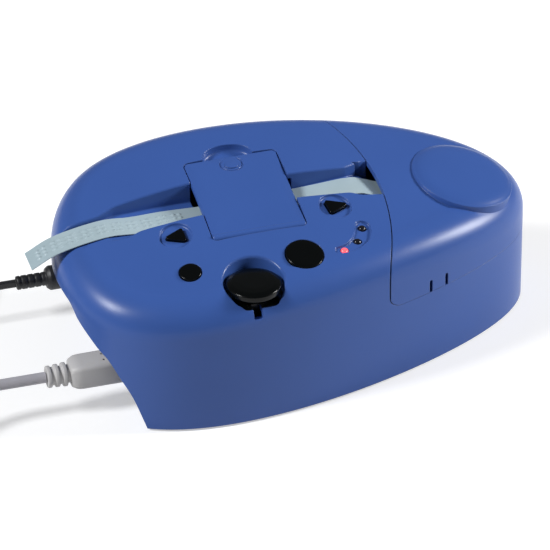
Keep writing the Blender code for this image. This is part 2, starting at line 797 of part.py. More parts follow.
def trough(name, outline, floor, floor_x):
    """A channel's cutter: its plan outline, above its floor line."""
    plan = prism(name + "_plan", outline, CHANNEL_BASE, HIGH, None, True)
    xs, zs = floor
    xs = [floor_x[0]] + xs + [floor_x[1]]
    zs = [zs[0]] + zs + [zs[-1]]
    side = side_prism(name, [xs[0]] + xs[1:] + [xs[-1], xs[0]], zs + [HIGH, HIGH], (-WIDE, WIDE), True)
    return cut(side, plan, "INTERSECT")


def housing_tools():
    """The housing's hollow, and every cutter of the channels and recesses."""
    hollow = skin("hollow", WALL)
    left_x, left_z = left_floor(LINER)
    left_liner = side_prism(
        "left_liner",
        [LEFT_LINER_X[0]] + left_x[2:-1] + [LEFT_LINER_X[1], LEFT_LINER_X[1], LEFT_LINER_X[0]],
        [left_z[1] + LINER] + left_z[2:-1] + [left_z[-1], HIGH, HIGH],
        LEFT_LINER_Y,
        True,
    )
    cut(hollow, left_liner)
    right_x, right_z = right_floor(LINER)
    for name, spans, ys in (
        ("right_liner", RIGHT_LINER_X, RIGHT_LINER_Y),
        ("flare_liner", FLARE_LINER_X, FLARE_LINER_Y),
    ):
        inside = [(x, z) for x, z in zip(right_x, right_z) if spans[0] < x < spans[1]]
        xs = [spans[0]] + [x for x, z in inside] + [spans[1], spans[1], spans[0]]
        zs = [float(np.interp(spans[0], right_x, right_z))] + [z for x, z in inside]
        zs += [inside[-1][1], HIGH, HIGH]
        cut(hollow, side_prism(name, xs, zs, ys, True))
    return hollow


def cut_recess_outline(outset):
    """The round knob recess, open to the front."""
    arc = ring_points((CUT_X, CUT_Y), CUT_RADIUS + outset, 11, 0.0, 180.0)
    front = -HALF_DEPTH - OVERRUN
    return [(CUT_X + CUT_RADIUS + outset, front)] + arc + [(CUT_X - CUT_RADIUS - outset, front)]


def ellipsoid(name, centre, radii, steps=16):
    built = bmesh.new()
    frame = Matrix.Translation(centre) @ Matrix.Diagonal((*radii, UNIT_SHARE))
    bmesh.ops.create_uvsphere(
        built, u_segments=steps, v_segments=steps // 2, radius=UNIT_SHARE, matrix=frame
    )
    return add_bmesh(name, built, True)


def boss_places():
    """Plan centres of the four screw bosses, as points a little inside the outline."""
    places = []
    for share in BOSS_SHARES:
        i = round(share * len(OUTLINE))
        places.append(tuple(OUTLINE[i] + INWARD[i] * BOSS_INSET))
    return places


def board_frame(at):
    """The frame of a key board: at its depth below the crown, and parallel to the crown there."""
    return seat(*at) @ Matrix.Translation((0.0, 0.0, -BOARD_DEPTH))


def depth_to_board(place, at):
    """How far the board's top lies below the crown at this place, along the board's normal."""
    frame = seat(*at)
    up = frame.to_3x3().col[2]
    here = Vector((place[0], place[1], crown(place[0], place[1])))
    return (here - frame.translation).dot(up) + BOARD_DEPTH


def arc_band(half_widths, outset=0.0):
    """The curved slot round the signal lamps, as an outline that narrows to one end."""
    degrees = np.linspace(LAMP_ARC_DEGREES[0], LAMP_ARC_DEGREES[-1], 6)
    widths = np.interp(degrees, LAMP_ARC_DEGREES, half_widths) + outset
    outer = []
    inner = []
    for a, w in zip(np.radians(degrees), widths):
        across = (math.cos(a), math.sin(a))
        outer.append(
            (LAMP_ARC_X + (LAMP_ARC_RADIUS + w) * across[0], LAMP_ARC_Y + (LAMP_ARC_RADIUS + w) * across[1])
        )
        inner.append(
            (LAMP_ARC_X + (LAMP_ARC_RADIUS - w) * across[0], LAMP_ARC_Y + (LAMP_ARC_RADIUS - w) * across[1])
        )
    ends = []
    for a, w, side in ((degrees[0], widths[0], -1), (degrees[-1], widths[-1], 1)):
        turn = math.radians(a)
        middle = (
            LAMP_ARC_X + LAMP_ARC_RADIUS * math.cos(turn),
            LAMP_ARC_Y + LAMP_ARC_RADIUS * math.sin(turn),
        )
        if side > 0:
            ends.append(ring_points(middle, w, 5, a, a + 180.0)[1:-1])
        else:
            ends.append(ring_points(middle, w, 5, a + 180.0, a + 360.0)[1:-1])
    return outer + ends[1] + inner[::-1] + ends[0]


def local_box(name, frame, xs, ys, zs, tool=True):
    shape = box(name, xs, ys, zs, tool)
    shape.data.transform(frame)
    return shape


def local_rod(name, frame, place, low, high, radius, tool=True, steps=SMALL_STEPS):
    start = frame @ Vector((place[0], place[1], low))
    end = frame @ Vector((place[0], place[1], high))
    return rod(name, start, end, radius, tool, steps)


def into(frame, xs, ys):
    """Plan points on the crown, in a seat's own X and Y."""
    inverse = frame.inverted()
    places = [inverse @ Vector((x, y, crown(x, y))) for x, y in zip(xs, ys)]
    return [(place.x, place.y) for place in places]


def hinge_frame():
    """The lid hinge: X along its pin, Y towards the housing."""
    pin = Vector((*HINGE_LEAN_SHARES, 0.0)).normalized()
    up = Vector((0.0, 0.0, 1.0))
    inward = up.cross(pin).normalized()
    frame = Matrix((pin, inward, up)).transposed().to_4x4()
    return Matrix.Translation((HINGE_X, HINGE_Y, HINGE_Z)) @ frame


def knuckle(name, low, high, web_low, web_high):
    """A round knuckle on the hinge line with a web that runs into the wall."""
    frame = hinge_frame()
    barrel = rod(
        name + "_barrel",
        frame @ Vector((low, 0.0, 0.0)),
        frame @ Vector((high, 0.0, 0.0)),
        KNUCKLE_RADIUS,
        True,
    )
    web = local_box(name + "_web", frame, (low, high), (0.0, KNUCKLE_REACH), (web_low, web_high))
    return barrel, web


COVER_AXIS_Z = crown(COVER_X[0] + COVER_GAP, COVER_AXIS_Y) - COVER_NOSE
PLAIN_HOLLOW = skin("plain_hollow", WALL)
OUTER_SKIN = skin("outer_skin", 0.0)
LEFT_FRAME = seat(*BACK_DISH, LEFT_BOARD_AT)
RIGHT_FRAME = seat(*FORWARD_DISH, RIGHT_BOARD_AT)
BOARDS = (
    ("left", LEFT_BOARD_AT, LEFT_BOARD_HALF, LEFT_POSTS_X, LEFT_POSTS_Y, (RESET_AT, BACK_DISH)),
    ("right", RIGHT_BOARD_AT, RIGHT_BOARD_HALF, RIGHT_POSTS_X, RIGHT_POSTS_Y, (SET_AT, FORWARD_DISH)),
)


def fill_hollow(hollow):
    """Leaves the bosses, posts and recess walls standing in the housing's hollow."""
    recess = prism("recess_liner", cut_recess_outline(LINER), CUT_FLOOR - WALL, HIGH, None, True)
    cut(hollow, recess)
    notch_at = (NOTCH_X, COVER_Y[1], crown(NOTCH_X, COVER_Y[1]) + NOTCH_RISE)
    cut(hollow, ellipsoid("notch_liner", notch_at, [radius + LINER for radius in NOTCH_RADII]))
    blocks = []
    for name, xs in (
        ("left", (COVER_X[0] - COVER_BLOCK_LENGTH, COVER_X[0] + COVER_GAP)),
        ("right", (COVER_X[1] - COVER_GAP, COVER_X[1] + COVER_BLOCK_LENGTH)),
    ):
        zs = (COVER_AXIS_Z - COVER_BLOCK_DEPTH / 2, HIGH)
        blocks.append(box(name + "_cover_block", xs, COVER_BLOCK_Y, zs, True))
    for i, place in enumerate(boss_places()):
        blocks.append(
            rod(f"boss_{i}", (*place, BOSS_Z[0]), (*place, BOSS_Z[1]), BOSS_RADIUS, True)
        )
    cut(hollow, gather("blocks", blocks))
    posts = []
    pins = []
    for name, at, _, xs, ys, _ in BOARDS:
        frame = board_frame(at)
        for i, place in enumerate(zip(xs, ys)):
            posts.append(local_rod(f"{name}_post_{i}", frame, place, GAP, BOARD_DEPTH, POST_RADIUS))
            low = -BOARD_THICKNESS - POST_PIN_PAST
            pins.append(
                local_rod(f"{name}_pin_{i}", frame, place, low, POST_RADIUS, POST_PIN_RADIUS, True, 12)
            )
    cut(hollow, gather("posts", posts))
    cut(hollow, gather("post_pins", pins))
    return hollow


def key_holes():
    """Holes for the keys, lamps, knob stem, screws and cover pins, as one cutter of separate rods."""
    found = []
    for name, place, radius, lean in (
        ("set_hole", SET_AT, SET_RADIUS, RIGHT_BOARD_AT),
        ("reset_hole", RESET_AT, RESET_RADIUS, LEFT_BOARD_AT),
    ):
        frame = seat(*place, lean)
        found.append(
            local_rod(name, frame, (0.0, 0.0), -OVERRUN, OVERRUN, radius + KEY_SPACE, True, ROUND_STEPS)
        )
    for i, place in enumerate(zip(LAMP_X, LAMP_Y)):
        frame = seat(*place, RIGHT_BOARD_AT)
        found.append(
            local_rod(f"lamp_hole_{i}", frame, (0.0, 0.0), -OVERRUN, OVERRUN, LAMP_RADIUS + LAMP_SPACE)
        )
    for i, place in enumerate(boss_places()):
        top = SCREW_TIP + POST_PIN_PAST
        found.append(rod(f"boss_hole_{i}", (*place, 0.0), (*place, top), SCREW_HOLE_RADIUS, True))
    knob = (KNOB_X, KNOB_Y)
    found.append(
        rod(
            "stem_hole",
            (*knob, CUT_FLOOR - OVERRUN),
            (*knob, CUT_FLOOR + OVERRUN),
            KNOB_HOLE_RADIUS,
            True,
            ROUND_STEPS,
        )
    )
    for name, start, reach in (("left", COVER_X[0], -1), ("right", COVER_X[1], 1)):
        far = start + reach * (COVER_PIN_LENGTH - COVER_GAP + GAP)
        near = start - reach * GAP
        found.append(
            rod(
                name + "_pin_hole",
                (near, COVER_AXIS_Y, COVER_AXIS_Z),
                (far, COVER_AXIS_Y, COVER_AXIS_Z),
                COVER_PIN_BORE,
                True,
            )
        )
    return gather("small_holes", found)


def triangle_holes():
    found = []
    for name, frame, xs, ys in (
        ("back_key_hole", LEFT_FRAME, BACK_KEY_X, BACK_KEY_Y),
        ("forward_key_hole", RIGHT_FRAME, FORWARD_KEY_X, FORWARD_KEY_Y),
    ):
        outline = rounded(into(frame, xs, ys), TRIANGLE_CORNER, KEY_SPACE)
        found.append(prism(name, outline, -OVERRUN, OVERRUN, frame, True))
    return gather("triangle_holes", found)


def cover_outline(front, space):
    """The head cover's outline, square in front and rounded at the back."""
    xs = (COVER_X[0] + space, COVER_X[1] - space)
    back = COVER_Y[1] - space
    corner = COVER_CORNER - space
    right = ring_points((xs[1] - corner, back - corner), corner, 5, 0.0, 90.0)
    left = ring_points((xs[0] + corner, back - corner), corner, 5, 90.0, 180.0)
    return [(xs[0], front), (xs[1], front)] + right + left


def build_shell():
    hollow = fill_hollow(housing_tools())
    shell = skin("main_shell", 0.0, False)
    cut(shell, hollow)
    left = -HALF_LENGTH - 2 * OVERRUN
    xs = [UNDERCUT_X[0], *UNDERCUT_X[:-1], left, left]
    zs = [-OVERRUN, *UNDERCUT_Z, -OVERRUN]
    cut(shell, side_prism("undercut", xs, zs, (-WIDE, WIDE), True))
    relief_start = (-HALF_LENGTH - OVERRUN, DC_Y, DC_Z)
    relief = rod("plug_relief", relief_start, (BAY_X[0] - GAP, DC_Y, DC_Z), DC_RELIEF_RADIUS, True)
    cut(shell, relief)
    cut(shell, seam_body("seam", 0.0))
    opening = cover_outline(COVER_Y[0], 0.0)
    cut(shell, prism("cover_opening", opening, COVER_FLOOR, HIGH, None, True))
    outline = list(zip(LEFT_FRONT_X, LEFT_FRONT_Y)) + list(zip(LEFT_BACK_X, LEFT_BACK_Y))
    ends = (LABEL_X[0] - OVERRUN, LABEL_X[-1] + GAP)
    cut(shell, trough("left_channel", outline, left_floor(0.0), ends))
    outline = list(zip(RIGHT_FRONT_X, RIGHT_FRONT_Y)) + list(zip(RIGHT_BACK_X, RIGHT_BACK_Y))
    ends = (SUPPLY_X[0] - GAP, RIGHT_LINER_X[1])
    cut(shell, trough("right_channel", outline, right_floor(0.0), ends))
    hole = list(zip(CORNER_HOLE_X, CORNER_HOLE_Y))
    cut(shell, prism("corner_hole", hole, CHANNEL_BASE, HIGH, None, True))
    cut(shell, prism("knob_recess", cut_recess_outline(0.0), CUT_FLOOR, HIGH, None, True))
    slot_y = (-HALF_DEPTH - OVERRUN, -HALF_DEPTH + CUT_SLOT_DEPTH)
    cut(shell, box("knob_slot", CUT_SLOT_X, slot_y, (CUT_SLOT_Z, CUT_FLOOR + OVERRUN), True))
    notch_at = (NOTCH_X, COVER_Y[1], crown(NOTCH_X, COVER_Y[1]) + NOTCH_RISE)
    cut(shell, ellipsoid("finger_notch", notch_at, NOTCH_RADII))
    for name, dish in (("back_dish", BACK_DISH), ("forward_dish", FORWARD_DISH)):
        cut(shell, pocket(name, ring_points(dish, DISH_RADIUS, 16), DISH_DEPTH))
    cut(shell, pocket("lamp_slot", arc_band(LAMP_SLOT_HALF_WIDTHS), LAMP_SLOT_DEPTH))
    cut(shell, triangle_holes())
    cut(shell, key_holes())
    half = KNUCKLE_LENGTH / 2
    join(shell, *knuckle("shell_knuckle", -half, half, -KNUCKLE_RADIUS, -GAP))
    cut(shell, hinge_bore("shell_hinge_bore"))
    return colour(shell, BLUE)


def hinge_bore(name):
    frame = hinge_frame()
    reach = KNUCKLE_LENGTH / 2 + KNUCKLE_SPACE + LID_KNUCKLE_LENGTH + OVERRUN
    start = frame @ Vector((-reach, 0.0, 0.0))
    end = frame @ Vector((reach, 0.0, 0.0))
    return rod(name, start, end, KNUCKLE_BORE, True)


def cap_profile(radius, rise, edge, foot):
    """A low round cap: its curved top, its edge and its side down to the foot."""
    ball = (radius**2 + rise**2) / (2 * rise)
    steps = 3
    inner = radius - edge
    profile = []
    for i in range(steps + 1):
        r = inner * i / steps
        profile.append((r, rise - ball + math.sqrt(ball**2 - r**2)))
    profile.append((radius, profile[-1][1] - edge))
    profile += [(radius, foot), (0.0, foot)]
    return profile


def dome_frame():
    up = Vector(DOME_LEAN_SHARES).normalized()
    turn = up.to_track_quat("Z", "Y").to_matrix().to_4x4()
    return Matrix.Translation((DOME_X, DOME_Y, DOME_RIM_Z)) @ turn


def build_lid():
    lid = skin("tape_lid", 0.0, False)
    frame = dome_frame()
    cap = cap_profile(DOME_RADIUS, DOME_RISE, DOME_EDGE, -DOME_DEPTH)
    join(lid, turned("dome", cap, frame, True, ROUND_STEPS))
    cut(lid, PLAIN_HOLLOW)
    foot = -DOME_DEPTH - OVERRUN
    inner = cap_profile(DOME_RADIUS - WALL, DOME_RISE, DOME_EDGE, foot + WALL)
    lower = frame @ Matrix.Translation((0.0, 0.0, -WALL))
    cut(lid, turned("dome_hollow", inner, lower, True, ROUND_STEPS))
    cut(lid, seam_body("lid_region", SEAM_GAP), "INTERSECT")
    slots = []
    half = TAB_SLOT_WIDTH / 2
    for i, (x, y) in enumerate(zip(TAB_SLOT_X, TAB_SLOT_Y)):
        ys = (y - TAB_SLOT_DEPTH / 2, y + TAB_SLOT_DEPTH / 2)
        zs = (SEAM_LEVEL - SEAM_CORNER, TAB_SLOT_TOP)
        slots.append(box(f"tab_slot_{i}", (x - half, x + half), ys, zs, True))
    cut(lid, gather("tab_slots", slots))
    near = KNUCKLE_LENGTH / 2 + KNUCKLE_SPACE
    far = near + LID_KNUCKLE_LENGTH
    top = LID_WEB_RISE + LID_WEB_HEIGHT
    join(lid, *knuckle("left_lid_knuckle", near, far, LID_WEB_RISE, top))
    join(lid, *knuckle("right_lid_knuckle", -far, -near, LID_WEB_RISE, top))
    cut(lid, hinge_bore("lid_hinge_bore"))
    pivot(lid, (HINGE_X, HINGE_Y, HINGE_Z))
    frame = hinge_frame()
    ends = (frame @ Vector((-far, 0.0, 0.0)), frame @ Vector((far, 0.0, 0.0)))
    colour(rod("lid_hinge_pin", *ends, HINGE_PIN_RADIUS), STEEL)
    return colour(lid, BLUE)


def build_cover():
    xs = (COVER_X[0] + COVER_GAP, COVER_X[1] - COVER_GAP)
    cover = prism("head_cover", cover_outline(COVER_AXIS_Y, COVER_GAP), COVER_FLOOR, HIGH)
    cut(cover, OUTER_SKIN, "INTERSECT")
    cut(cover, PLAIN_HOLLOW)
    trim_y = (COVER_AXIS_Y - OVERRUN, COVER_AXIS_Y + COVER_TRIM_DEPTH)
    trim_z = (COVER_AXIS_Z + COVER_TRIM_RISE, HIGH)
    cut(cover, box("cover_trim", (xs[0] - OVERRUN, xs[1] + OVERRUN), trim_y, trim_z, True))
    axis = (COVER_AXIS_Y, COVER_AXIS_Z)
    nose = rod("cover_nose", (xs[0], *axis), (xs[1], *axis), COVER_NOSE, True)
    reach = COVER_PIN_LENGTH
    pins = rod("cover_pins", (xs[0] - reach, *axis), (xs[1] + reach, *axis), COVER_PIN_RADIUS, True)
    join(cover, nose, pins)
    for name, ys, top in (
        ("front_ear", PINCH_EAR_Y, PINCH_EAR_TOPS[0]),
        ("back_ear", PINCH_EAR_BACK_Y, PINCH_EAR_TOPS[1]),
    ):
        join(cover, box(name, PINCH_EAR_X, ys, (PINCH_EAR_Z, top), True))
    ends = (PINCH_EAR_Y[0] - OVERRUN, PINCH_EAR_BACK_Y[1] + OVERRUN)
    bore = [(FEED_X, y, PINCH_Z) for y in ends]
    cut(cover, rod("pinch_bore", *bore, PINCH_PIN_BORE, True))
    pivot(cover, (0.0, *axis))
    return colour(cover, BLUE)


build_shell()
build_lid()
build_cover()


def frame_at(place, axis):
    """A frame at a point with its Z axis along the given direction."""
    turn = Vector(axis).to_track_quat("Z", "Y").to_matrix().to_4x4()
    return Matrix.Translation(place) @ turn


def build_base():
    outline = [tuple(point) for point in OUTLINE + INWARD * (WALL + BASE_SPACE)]
    base = prism("base_plate", outline, *BASE_Z)
    cut(base, box("base_left", (-WIDE, BASE_LEFT), (-WIDE, WIDE), (-HIGH, HIGH), True))
    feet = [rod(f"foot_recess_{i}", (x, y, 0.0), (x, y, FOOT_RECESS), FOOT_RADIUS + GAP, True)
            for i, (x, y) in enumerate(zip(FEET_X, FEET_Y))]
    holes = []
    sinks = []
    for i, place in enumerate(boss_places()):
        through = ((*place, -OVERRUN), (*place, OVERRUN))
        holes.append(rod(f"screw_hole_{i}", *through, SCREW_HOLE_RADIUS, True))
        sink = ((*place, 0.0), (*place, COUNTERBORE_TOP))
        sinks.append(rod(f"screw_sink_{i}", *sink, COUNTERBORE_RADIUS, True))
    standoffs = []
    for i, x in enumerate(STANDOFFS_X):
        for k, y in enumerate(STANDOFFS_Y):
            foot = (x, y, BASE_Z[0] + GAP)
            top = (x, y, MAIN_BOARD_Z[0] - GAP)
            standoffs.append(rod(f"standoff_{i}{k}", foot, top, STANDOFF_RADIUS, True))
    for ears in (EAR_LEFT_X, EAR_RIGHT_X):
        standoffs.append(box("ear", ears, EAR_Y, (BASE_Z[0] + GAP, EAR_TOP), True))
    cut(base, gather("foot_recesses", feet))
    cut(base, gather("screw_holes", holes))
    cut(base, gather("screw_sinks", sinks))
    join(base, *standoffs)
    ends = [(x, ROCKER_PIVOT_Y, ROCKER_PIVOT_Z) for x in (EAR_LEFT_X[0] - OVERRUN, EAR_RIGHT_X[1] + OVERRUN)]
    cut(base, rod("ear_bore", *ends, ROCKER_PIN_BORE, True))
    colour(base, DARK_BLUE)
    for i, (x, y) in enumerate(zip(FEET_X, FEET_Y)):
        colour(rod(f"foot_{i + 1}", (x, y, 0.0), (x, y, FOOT_TOP), FOOT_RADIUS), RUBBER)
    for i, place in enumerate(boss_places()):
        head = ((*place, SCREW_HEAD_Z[0]), (*place, SCREW_HEAD_Z[1]))
        screw = rod(f"base_screw_{i + 1}", *head, SCREW_HEAD_RADIUS)
        shank = ((*place, SCREW_HEAD_Z[0] + GAP), (*place, SCREW_TIP))
        join(screw, rod(f"screw_shank_{i}", *shank, SCREW_RADIUS, True))
        colour(screw, STEEL)


def build_bay():
    """The wall with both sockets at the left end, and the ceiling over the plugs."""
    steps = 3
    outer = BAY_BEND + BAY_X[1] - BAY_X[0]
    turn_x = BAY_X[0] - BAY_BEND
    turn_z = BAY_CEILING[0] - BAY_BEND
    xs = [BAY_X[0]]
    zs = [BAY_BOTTOM]
    for k in range(steps + 1):
        angle = math.radians(90 * k / steps)
        xs.append(turn_x + BAY_BEND * math.cos(angle))
        zs.append(turn_z + BAY_BEND * math.sin(angle))
    xs += [BAY_LEFT, BAY_LEFT]
    zs += [BAY_CEILING[0], turn_z + outer]
    for k in range(steps, -1, -1):
        angle = math.radians(90 * k / steps)
        xs.append(turn_x + outer * math.cos(angle))
        zs.append(turn_z + outer * math.sin(angle))
    xs.append(BAY_X[1])
    zs.append(BAY_BOTTOM)
    bay = side_prism("connector_bay", xs, zs, (-HALF_DEPTH, HALF_DEPTH))
    cut(bay, skin("bay_limit", WALL + BASE_SPACE), "INTERSECT")
    across = (BAY_X[0] - OVERRUN, BAY_X[1] + OVERRUN)
    ys = (USB_Y - USB_SHELL[0] / 2 - GAP, USB_Y + USB_SHELL[0] / 2 + GAP)
    zs = (USB_Z - USB_SHELL[1] / 2 - GAP, USB_Z + USB_SHELL[1] / 2 + GAP)
    cut(bay, box("usb_window", across, ys, zs, True))
    ends = [(x, DC_Y, DC_Z) for x in across]
    cut(bay, rod("dc_window", *ends, DC_BARREL_RADIUS + GAP, True))
    colour(bay, DARK_BLUE)
    board = box("socket_board", SOCKET_BOARD_X, SOCKET_BOARD_Y, SOCKET_BOARD_Z)
    colour(board, BOARD_GREEN)
    for name, y, z, size in (
        ("usb_jack", USB_Y, USB_Z, USB_JACK_SIZE),
        ("dc_jack", DC_Y, DC_Z, DC_JACK_SIZE),
    ):
        jack_y = (y - size[0] / 2, y + size[0] / 2)
        jack_z = (z - size[1] / 2, z + size[1] / 2)
        jack = box(name, JACK_X, jack_y, jack_z)
        depth = (JACK_X[0] - OVERRUN, JACK_BORE_END)
        if name == "usb_jack":
            cut(jack, box("usb_jack_bore", depth, ys, zs, True))
            colour(jack, STEEL)
        else:
            bore = [(x, y, z) for x in depth]
            cut(jack, rod("dc_jack_bore", *bore, DC_BARREL_RADIUS + GAP, True))
            colour(jack, BLACK)


def key_body(name, at, lean, radius, top, flange):
    """A key's flange and stem, and its round cap when it has one. The stem ends in its switch."""
    frame = seat(*at, lean)
    tip = -(depth_to_board(at, lean) - SWITCH_HEIGHT + STEM_ENGAGED)
    upper, lower = -KEY_FLANGE_DEPTH[0], -KEY_FLANGE_DEPTH[1]
    profile = [(0.0, top), (radius - KEY_ROUND, top), (radius, top - KEY_ROUND)]
    profile += [(radius, upper), (flange, upper), (flange, lower)]
    profile += [(KEY_STEM_RADIUS, lower), (KEY_STEM_RADIUS, tip), (0.0, tip)]
    return profile, frame


def build_keys():
    for name, at, lean, radius in (
        ("set_button", SET_AT, RIGHT_BOARD_AT, SET_RADIUS),
        ("reset_button", RESET_AT, LEFT_BOARD_AT, RESET_RADIUS),
    ):
        profile, frame = key_body(name, at, lean, radius, KEY_PROUD, radius + KEY_FLANGE)
        colour(turned(name, profile, frame), BLACK)
    for name, at, lean, xs, ys in (
        ("back_key", BACK_DISH, LEFT_BOARD_AT, BACK_KEY_X, BACK_KEY_Y),
        ("forward_key", FORWARD_DISH, RIGHT_BOARD_AT, FORWARD_KEY_X, FORWARD_KEY_Y),
    ):
        frame = seat(*at, lean)
        tip = -(depth_to_board(at, lean) - SWITCH_HEIGHT + STEM_ENGAGED)
        upper, lower = -KEY_FLANGE_DEPTH[0], -KEY_FLANGE_DEPTH[1]
        profile = [(0.0, upper), (TRIANGLE_FLANGE_RADIUS, upper), (TRIANGLE_FLANGE_RADIUS, lower)]
        profile += [(KEY_STEM_RADIUS, lower), (KEY_STEM_RADIUS, tip), (0.0, tip)]
        key = turned(name, profile, frame)
        outline = rounded(into(frame, xs, ys), TRIANGLE_CORNER)
        join(key, prism(name + "_cap", outline, upper - GAP, TRIANGLE_PROUD, frame, True))
        colour(key, BLACK)
    for name, place, kind in zip(
        ("red_lamp", "middle_lamp", "rear_lamp"), zip(LAMP_X, LAMP_Y), (RED, SMOKE, SMOKE)
    ):
        frame = seat(*place, RIGHT_BOARD_AT)
        foot = GAP - depth_to_board(place, RIGHT_BOARD_AT)
        profile = [(0.0, LAMP_PROUD), (LAMP_RADIUS / 2, LAMP_PROUD - GAP)]
        profile += [(LAMP_RADIUS, -LAMP_RADIUS / 2), (LAMP_RADIUS, foot), (0.0, foot)]
        colour(turned(name, profile, frame, False, SMALL_STEPS), kind)
    for name, at, half, xs, ys, keys in BOARDS:
        frame = board_frame(at)
        spans = ((-half[0], half[0]), (-half[1], half[1]), (-BOARD_THICKNESS, 0.0))
        board = local_box(name + "_key_board", frame, *spans, False)
        switches = []
        bores = []
        for i, key in enumerate(keys):
            place = frame.inverted() @ seat(*key, at).translation
            spans = [(place[k] - SWITCH_HALF, place[k] + SWITCH_HALF) for k in (0, 1)]
            tall = (-BOARD_THICKNESS / 2, SWITCH_HEIGHT)
            switches.append(local_box(f"{name}_switch_{i}", frame, *spans, tall))
            low = SWITCH_HEIGHT - SWITCH_SINK
            bores.append(local_rod(f"{name}_sink_{i}", frame, place, low, BOARD_DEPTH, SWITCH_BORE))
        for i, place in enumerate(zip(xs, ys)):
            bores.append(local_rod(f"{name}_eye_{i}", frame, place, -OVERRUN, OVERRUN, POST_PIN_BORE))
        if name == "right":
            spans = ((-WIDE, RIGHT_BOARD_NOTCH[0]), (RIGHT_BOARD_NOTCH[1], WIDE))
            cut(board, local_box("board_notch", frame, *spans, (-OVERRUN, OVERRUN)))
        join(board, *switches)
        cut(board, gather(name + "_board_bores", bores))
        colour(board, BOARD_GREEN)


build_base()
build_bay()
build_keys()


def band(xs, zs, half):
    """A strip's side outline."""
    upper = [z + half for z in zs]
    lower = [z - half for z in zs]
    return list(xs) + list(xs)[::-1], upper + lower[::-1]


def y_rod(name, x, z, ys, radius, tool=False, steps=SMALL_STEPS):
    return rod(name, (x, ys[0], z), (x, ys[1], z), radius, tool, steps)


def y_frame(x, y, z):
    return frame_at((x, y, z), (0.0, 1.0, 0.0))


def build_tape():
    half = TAPE_THICKNESS / 2
    label = side_prism("tape_label", *band(LABEL_X, LABEL_Z, half), TAPE_Y)
    colour(label, IVORY)
    reach = ROLL_RADIUS + half + GAP
    away = Vector((SUPPLY_X[-1] - REEL_X, SUPPLY_Z[-1] - REEL_Z))
    turn = math.atan2(away.y, away.x) - math.acos(reach / away.length)
    xs = [*SUPPLY_X, REEL_X + reach * math.cos(turn)]
    zs = [*SUPPLY_Z, REEL_Z + reach * math.sin(turn)]
    colour(side_prism("tape_supply", *band(xs, zs, half), TAPE_Y), IVORY)
    width = TAPE_Y[1] - TAPE_Y[0]
    frame = y_frame(REEL_X, TAPE_Y[0], REEL_Z)
    ring = [(ROLL_BORE, width), (ROLL_RADIUS, width), (ROLL_RADIUS, 0.0), (ROLL_BORE, 0.0)]
    colour(turned("tape_roll", ring, frame, False, ROUND_STEPS, True), IVORY)
    low = FLANGE_Y[0] - TAPE_Y[0]
    high = FLANGE_Y[1] - TAPE_Y[0]
    core = [(HUB_BORE, high), (FLANGE_RADIUS, high), (FLANGE_RADIUS, low), (HUB_RADIUS, low)]
    core += [(HUB_RADIUS, 0.0), (HUB_BORE, 0.0)]
    colour(turned("reel_core", core, frame, False, ROUND_STEPS, True), WHITE)
    stub = SPINDLE_RADIUS - 3 * GAP
    tip = BRACKET_Y[1] + GAP - TAPE_Y[0]
    shoulder = BRACKET_Y[0] - GAP - TAPE_Y[0]
    spindle = [(0.0, tip), (stub, tip), (stub, shoulder), (SPINDLE_RADIUS, shoulder)]
    spindle += [(SPINDLE_RADIUS, -GAP), (SPINDLE_HEAD_RADIUS, -GAP)]
    spindle += [(SPINDLE_HEAD_RADIUS, -GAP - SPINDLE_HEAD), (0.0, -GAP - SPINDLE_HEAD)]
    colour(turned("reel_spindle", spindle, frame, False, 16), STEEL)
    bracket = box("reel_bracket", BRACKET_X, BRACKET_Y, BRACKET_Z)
    foot_y = (BRACKET_Y[0] + GAP, BRACKET_FOOT[1])
    foot_x = (BRACKET_X[0] + GAP, BRACKET_X[1] - GAP)
    join(bracket, box("bracket_foot", foot_x, foot_y, (BRACKET_Z[0], BRACKET_FOOT_TOP), True))
    ys = (BRACKET_Y[0] - OVERRUN, BRACKET_Y[1] + OVERRUN)
    cut(bracket, y_rod("bracket_bore", REEL_X, REEL_Z, ys, stub + GAP, True, 16))
    colour(bracket, STEEL)
    colour(box("bulkhead", BULKHEAD_X, BULKHEAD_Y, BULKHEAD_Z), DARK_BLUE)


def gear_outline(centre, teeth, facing, tooth_faces):
    """A gear's side outline with a tooth, or a gap, facing the given angle."""
    pitch = 2 * math.pi / teeth
    radius = GEAR_MODULE * teeth / 2
    first = facing if tooth_faces else facing + pitch / 2
    xs = []
    zs = []
    for i in range(teeth):
        for share, r in (
            (-TOOTH_SHARES[0], radius - GEAR_MODULE * 5 / 4),
            (-TOOTH_SHARES[1], radius + GEAR_MODULE),
            (TOOTH_SHARES[1], radius + GEAR_MODULE),
            (TOOTH_SHARES[0], radius - GEAR_MODULE * 5 / 4),
        ):
            angle = first + pitch * (i + share)
            xs.append(centre[0] + r * math.cos(angle))
            zs.append(centre[1] + r * math.sin(angle))
    return xs, zs


